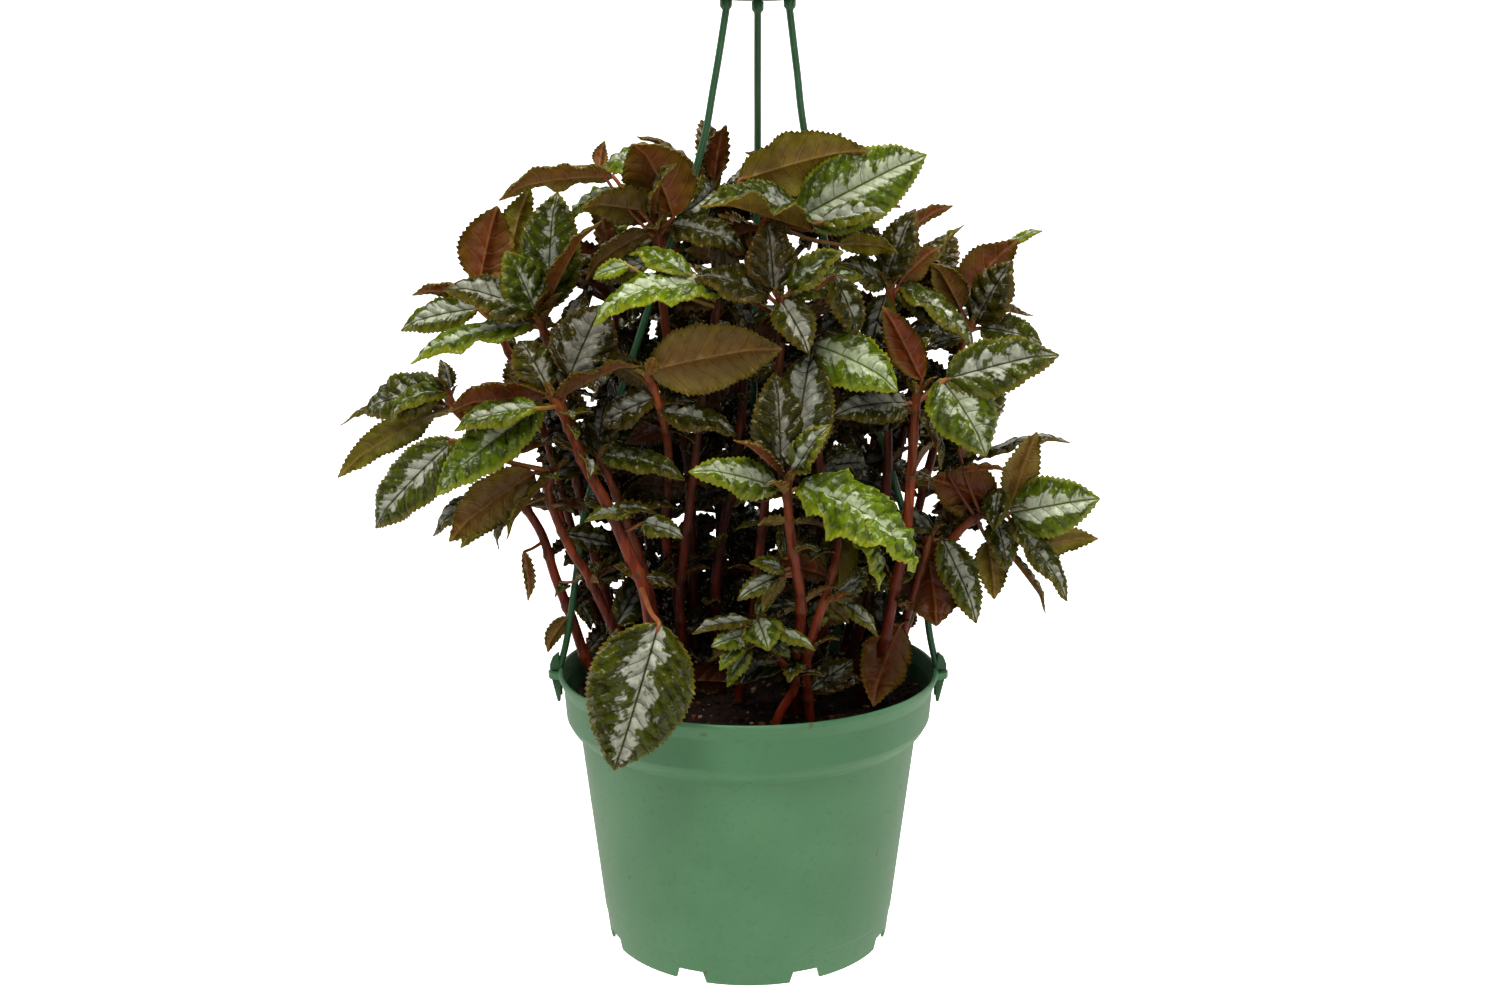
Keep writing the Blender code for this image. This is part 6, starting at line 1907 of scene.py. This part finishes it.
def stem_finish(mottle, shade):
    """Coral to maroon stem, darker inside the plant and tan at its joints, with orange-tan leaf stalks."""
    finish, w, shader = start_material("pilea_stem")
    along, stalk, joint, tone = w.mark("along"), w.mark("stalk"), w.mark("joint"), w.mark("tone")
    streak = w.cloud(500.0, 3.0, (1.0, 1.0, 0.12))
    bark = w.blend(w.band(streak, 0.38, 0.68), w.ramp(along, BARK_RED), w.ramp(along, BARK_DARK))
    bark = w.blend(w.times(joint, 0.45), bark, (0.15, 0.075, 0.024))
    colour = w.blend(stalk, bark, w.ramp(tone, STALKS))
    cloudy = w.group(mottle, First=(1.0, 1.0, 1.0), Second=(0.74, 0.68, 0.64), Cloud_Scale=90.0,
                     Speck_Scale=1500.0, Specks=0.2)
    tint = w.node("ShaderNodeMix", {"data_type": "RGBA", "blend_type": "MULTIPLY"})
    tint.inputs[0].default_value = 1.0
    w.feed(tint.inputs[6], colour)
    w.feed(tint.inputs[7], cloudy["Color"])
    colour = w.group(shade, Plain=tint.outputs[2], Daylight=w.mark("shade"))["Color"]
    set_surface(w, shader, colour, w.band(streak, 0.3, 0.7, 0.34, 0.5), 0.20)
    bump(w, shader, streak, 0.2, 0.0005)
    return finish


def pot_finish(mottle):
    """Mid-green moulded plastic, faintly mottled, with a few specks of dirt, painted shade on the banded rim
    and a soft shine.
    """
    finish, w, shader = start_material("green_pot_plastic")
    colour = w.group(mottle, First=(0.070, 0.200, 0.092), Second=(0.083, 0.222, 0.106), Cloud_Scale=26.0,
                     Speck_Scale=520.0, Specks=0.0)["Color"]
    freckle = w.band(w.cloud(430.0, 2.0), 0.58, 0.68, 0.0, 0.30)
    colour = w.blend(freckle, colour, (0.045, 0.150, 0.072))
    high = w.node("ShaderNodeSeparateXYZ", Vector=w.place_on_piece()).outputs["Z"]
    # Painted shade: the banded rim is painted a little darker than the wall, as it faces slightly downwards
    band_low, band_high = ((z - HANG_HEIGHT) * MM for _, z in reversed(RIM_OUTSIDE[1:]))
    colour = w.blend(w.band(high, band_low, band_high, 0.0, 0.22), colour, (0.028, 0.130, 0.056))
    spots = w.cloud(210.0, 1.0)
    spot = w.band(spots, 0.745, 0.775, 0.0, 0.6)
    colour = w.blend(spot, colour, (0.10, 0.055, 0.025))
    grain = w.cloud(1800.0, 2.0)
    set_surface(w, shader, colour, w.band(grain, 0.3, 0.7, 0.42, 0.52), 0.35)
    bump(w, shader, grain, 0.06, 0.0003)
    return finish


def hanger_finish(mottle):
    """Darker green moulded plastic."""
    finish, w, shader = start_material("green_hanger_plastic")
    colour = w.group(mottle, First=(0.018, 0.078, 0.030), Second=(0.026, 0.098, 0.040), Cloud_Scale=60.0,
                     Speck_Scale=900.0, Specks=0.06)["Color"]
    grain = w.cloud(1500.0, 2.0)
    set_surface(w, shader, colour, w.band(grain, 0.3, 0.7, 0.30, 0.42), 0.35)
    bump(w, shader, grain, 0.08, 0.0003)
    return finish


def soil_finish(mottle):
    """Near-black damp mix, with reddish bark bits and a few pale crumbs."""
    finish, w, shader = start_material("damp_potting_mix")
    loose, kind = w.mark("joint"), w.mark("tone")
    ground = w.group(mottle, First=(0.008, 0.004, 0.002), Second=(0.020, 0.009, 0.005), Cloud_Scale=300.0,
                     Speck_Scale=1400.0, Specks=0.7)["Color"]
    bits = w.ramp(kind, CRUMB_COLOURS)
    grain = w.cloud(1600.0, 4.0)
    set_surface(w, shader, w.blend(loose, ground, bits), w.band(grain, 0.3, 0.7, 0.62, 0.95), 0.2)
    bump(w, shader, grain, 0.7, 0.0010)
    return finish


# Stage, light and camera

FLOOR_DROP = 0.30
BACKDROP_NEAR, BACKDROP_FAR, BACKDROP_BEND, BACKDROP_HALF = -3.0, 2.2, 1.1, 5.0
BACKDROP_HIGH, BEND_PARTS = 4.5, 16
PITCH = 10.8  # how far the photo looks down, in degrees
PHOTO_WIDTH, PHOTO_FOCUS = 1500.0, 1630.0  # in pixels
SENSOR = 36.0
SKY_LIGHT = 0.07  # what the white surroundings give
WARM, LIGHT_AIM = (1.0, 0.96, 0.89), (0.0, 0.0, -0.25)
LAMPS = {  # place, size and power
    "key": ((-0.5, -1.3, 1.7), 1.2, 37.0),
    "fill": ((0.7, -2.0, 0.1), 1.6, 13.0),
    "top": ((0.2, 0.1, 1.6), 1.0, 34.0),
    "left_edge": ((-1.7, 0.5, -0.1), 1.2, 9.0),
    "right_edge": ((1.7, 0.5, -0.1), 1.2, 9.0),
}


def make_backdrop():
    """A pale floor that bends up into a pale wall."""
    finish, w, shader = start_material("pale_backdrop")
    cloud = w.cloud(1.5, 2.0)
    w.feed(shader.inputs["Base Color"], w.ramp(cloud, ((0.3, (0.90, 0.90, 0.90)), (0.7, (0.93, 0.93, 0.93)))))
    shader.inputs["Roughness"].default_value = 0.9
    shader.inputs["Emission Color"].default_value = (1.0, 1.0, 1.0, 1.0)
    w.feed(shader.inputs["Emission Strength"], w.node("ShaderNodeLightPath").outputs["Is Camera Ray"])
    low = cad_box[0].z - FLOOR_DROP
    line = [(BACKDROP_NEAR, low), (BACKDROP_FAR - BACKDROP_BEND, low)]
    for k in range(1, BEND_PARTS + 1):
        a = math.pi / 2 * k / BEND_PARTS
        line.append((BACKDROP_FAR - BACKDROP_BEND + BACKDROP_BEND * math.sin(a),
                     low + BACKDROP_BEND * (1 - math.cos(a))))
    line.append((BACKDROP_FAR, low + BACKDROP_HIGH))
    points = [(x, y, z) for y, z in line for x in (-BACKDROP_HALF, BACKDROP_HALF)]
    faces = [(2 * i, 2 * i + 1, 2 * i + 3, 2 * i + 2) for i in range(len(line) - 1)]
    mesh = bpy.data.meshes.new("backdrop")
    mesh.from_pydata(points, [], faces)
    mesh.shade_smooth()
    mesh.materials.append(finish)
    ob = linked("backdrop", mesh)


def area_light(name, place, size, power):
    """A round lamp that shines on the middle of the plant."""
    light = bpy.data.lights.new(name, "AREA")
    light.shape, light.size, light.energy, light.color = "DISK", size, power, WARM
    ob = linked(name, light)
    ob.location = place
    ob.rotation_euler = (Vector(LIGHT_AIM) - Vector(place)).to_track_quat("-Z", "Y").to_euler()


def make_light():
    """White surroundings, which the camera sees at full strength, and five round lamps."""
    world = bpy.data.worlds.new("studio")
    bpy.context.scene.world = world
    world.use_nodes = True
    sky = next(n for n in world.node_tree.nodes if n.type == "BACKGROUND")
    sky.inputs["Color"].default_value = (1.0, 1.0, 1.0, 1.0)
    w = Wires(world.node_tree)
    seen = w.node("ShaderNodeLightPath").outputs["Is Camera Ray"]
    w.feed(sky.inputs["Strength"], w.band(seen, 0.0, 1.0, SKY_LIGHT, 1.0))
    for name, lamp in LAMPS.items():
        area_light(name, *lamp)


def make_camera():
    """The photo's own view."""
    lens = bpy.data.cameras.new("photo_view")
    lens.sensor_width = SENSOR
    lens.lens = SENSOR * PHOTO_FOCUS / PHOTO_WIDTH
    lens.clip_start, lens.clip_end = 0.01, 50.0
    ob = linked("photo_view", lens)
    ob.location = in_row(EYE)
    ob.rotation_euler = (math.radians(90.0 - PITCH), 0.0, 0.0)
    bpy.context.scene.camera = ob


def main():
    """Builds and finishes every piece, then sets up the stage, the light and the camera."""
    mottle, shade = mottle_group(), shade_group()
    hanger = hanger_finish(mottle)
    pieces = make_foliage(settle_plant(), [leaf_finish(shade), stem_finish(mottle, shade)])
    pieces.append(make_fine_pot(pot_finish(mottle)))
    pieces.append(make_fine_soil([soil_finish(mottle)]))
    pieces += [make_fine_strand(name, spec, hanger) for name, spec in STRANDS.items()]
    pieces.append(make_fine_hook(hanger))
    for piece in pieces:
        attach(piece, "root")
    make_backdrop()
    make_light()
    make_camera()
    bpy.context.scene.view_settings.view_transform = "Standard"


main()
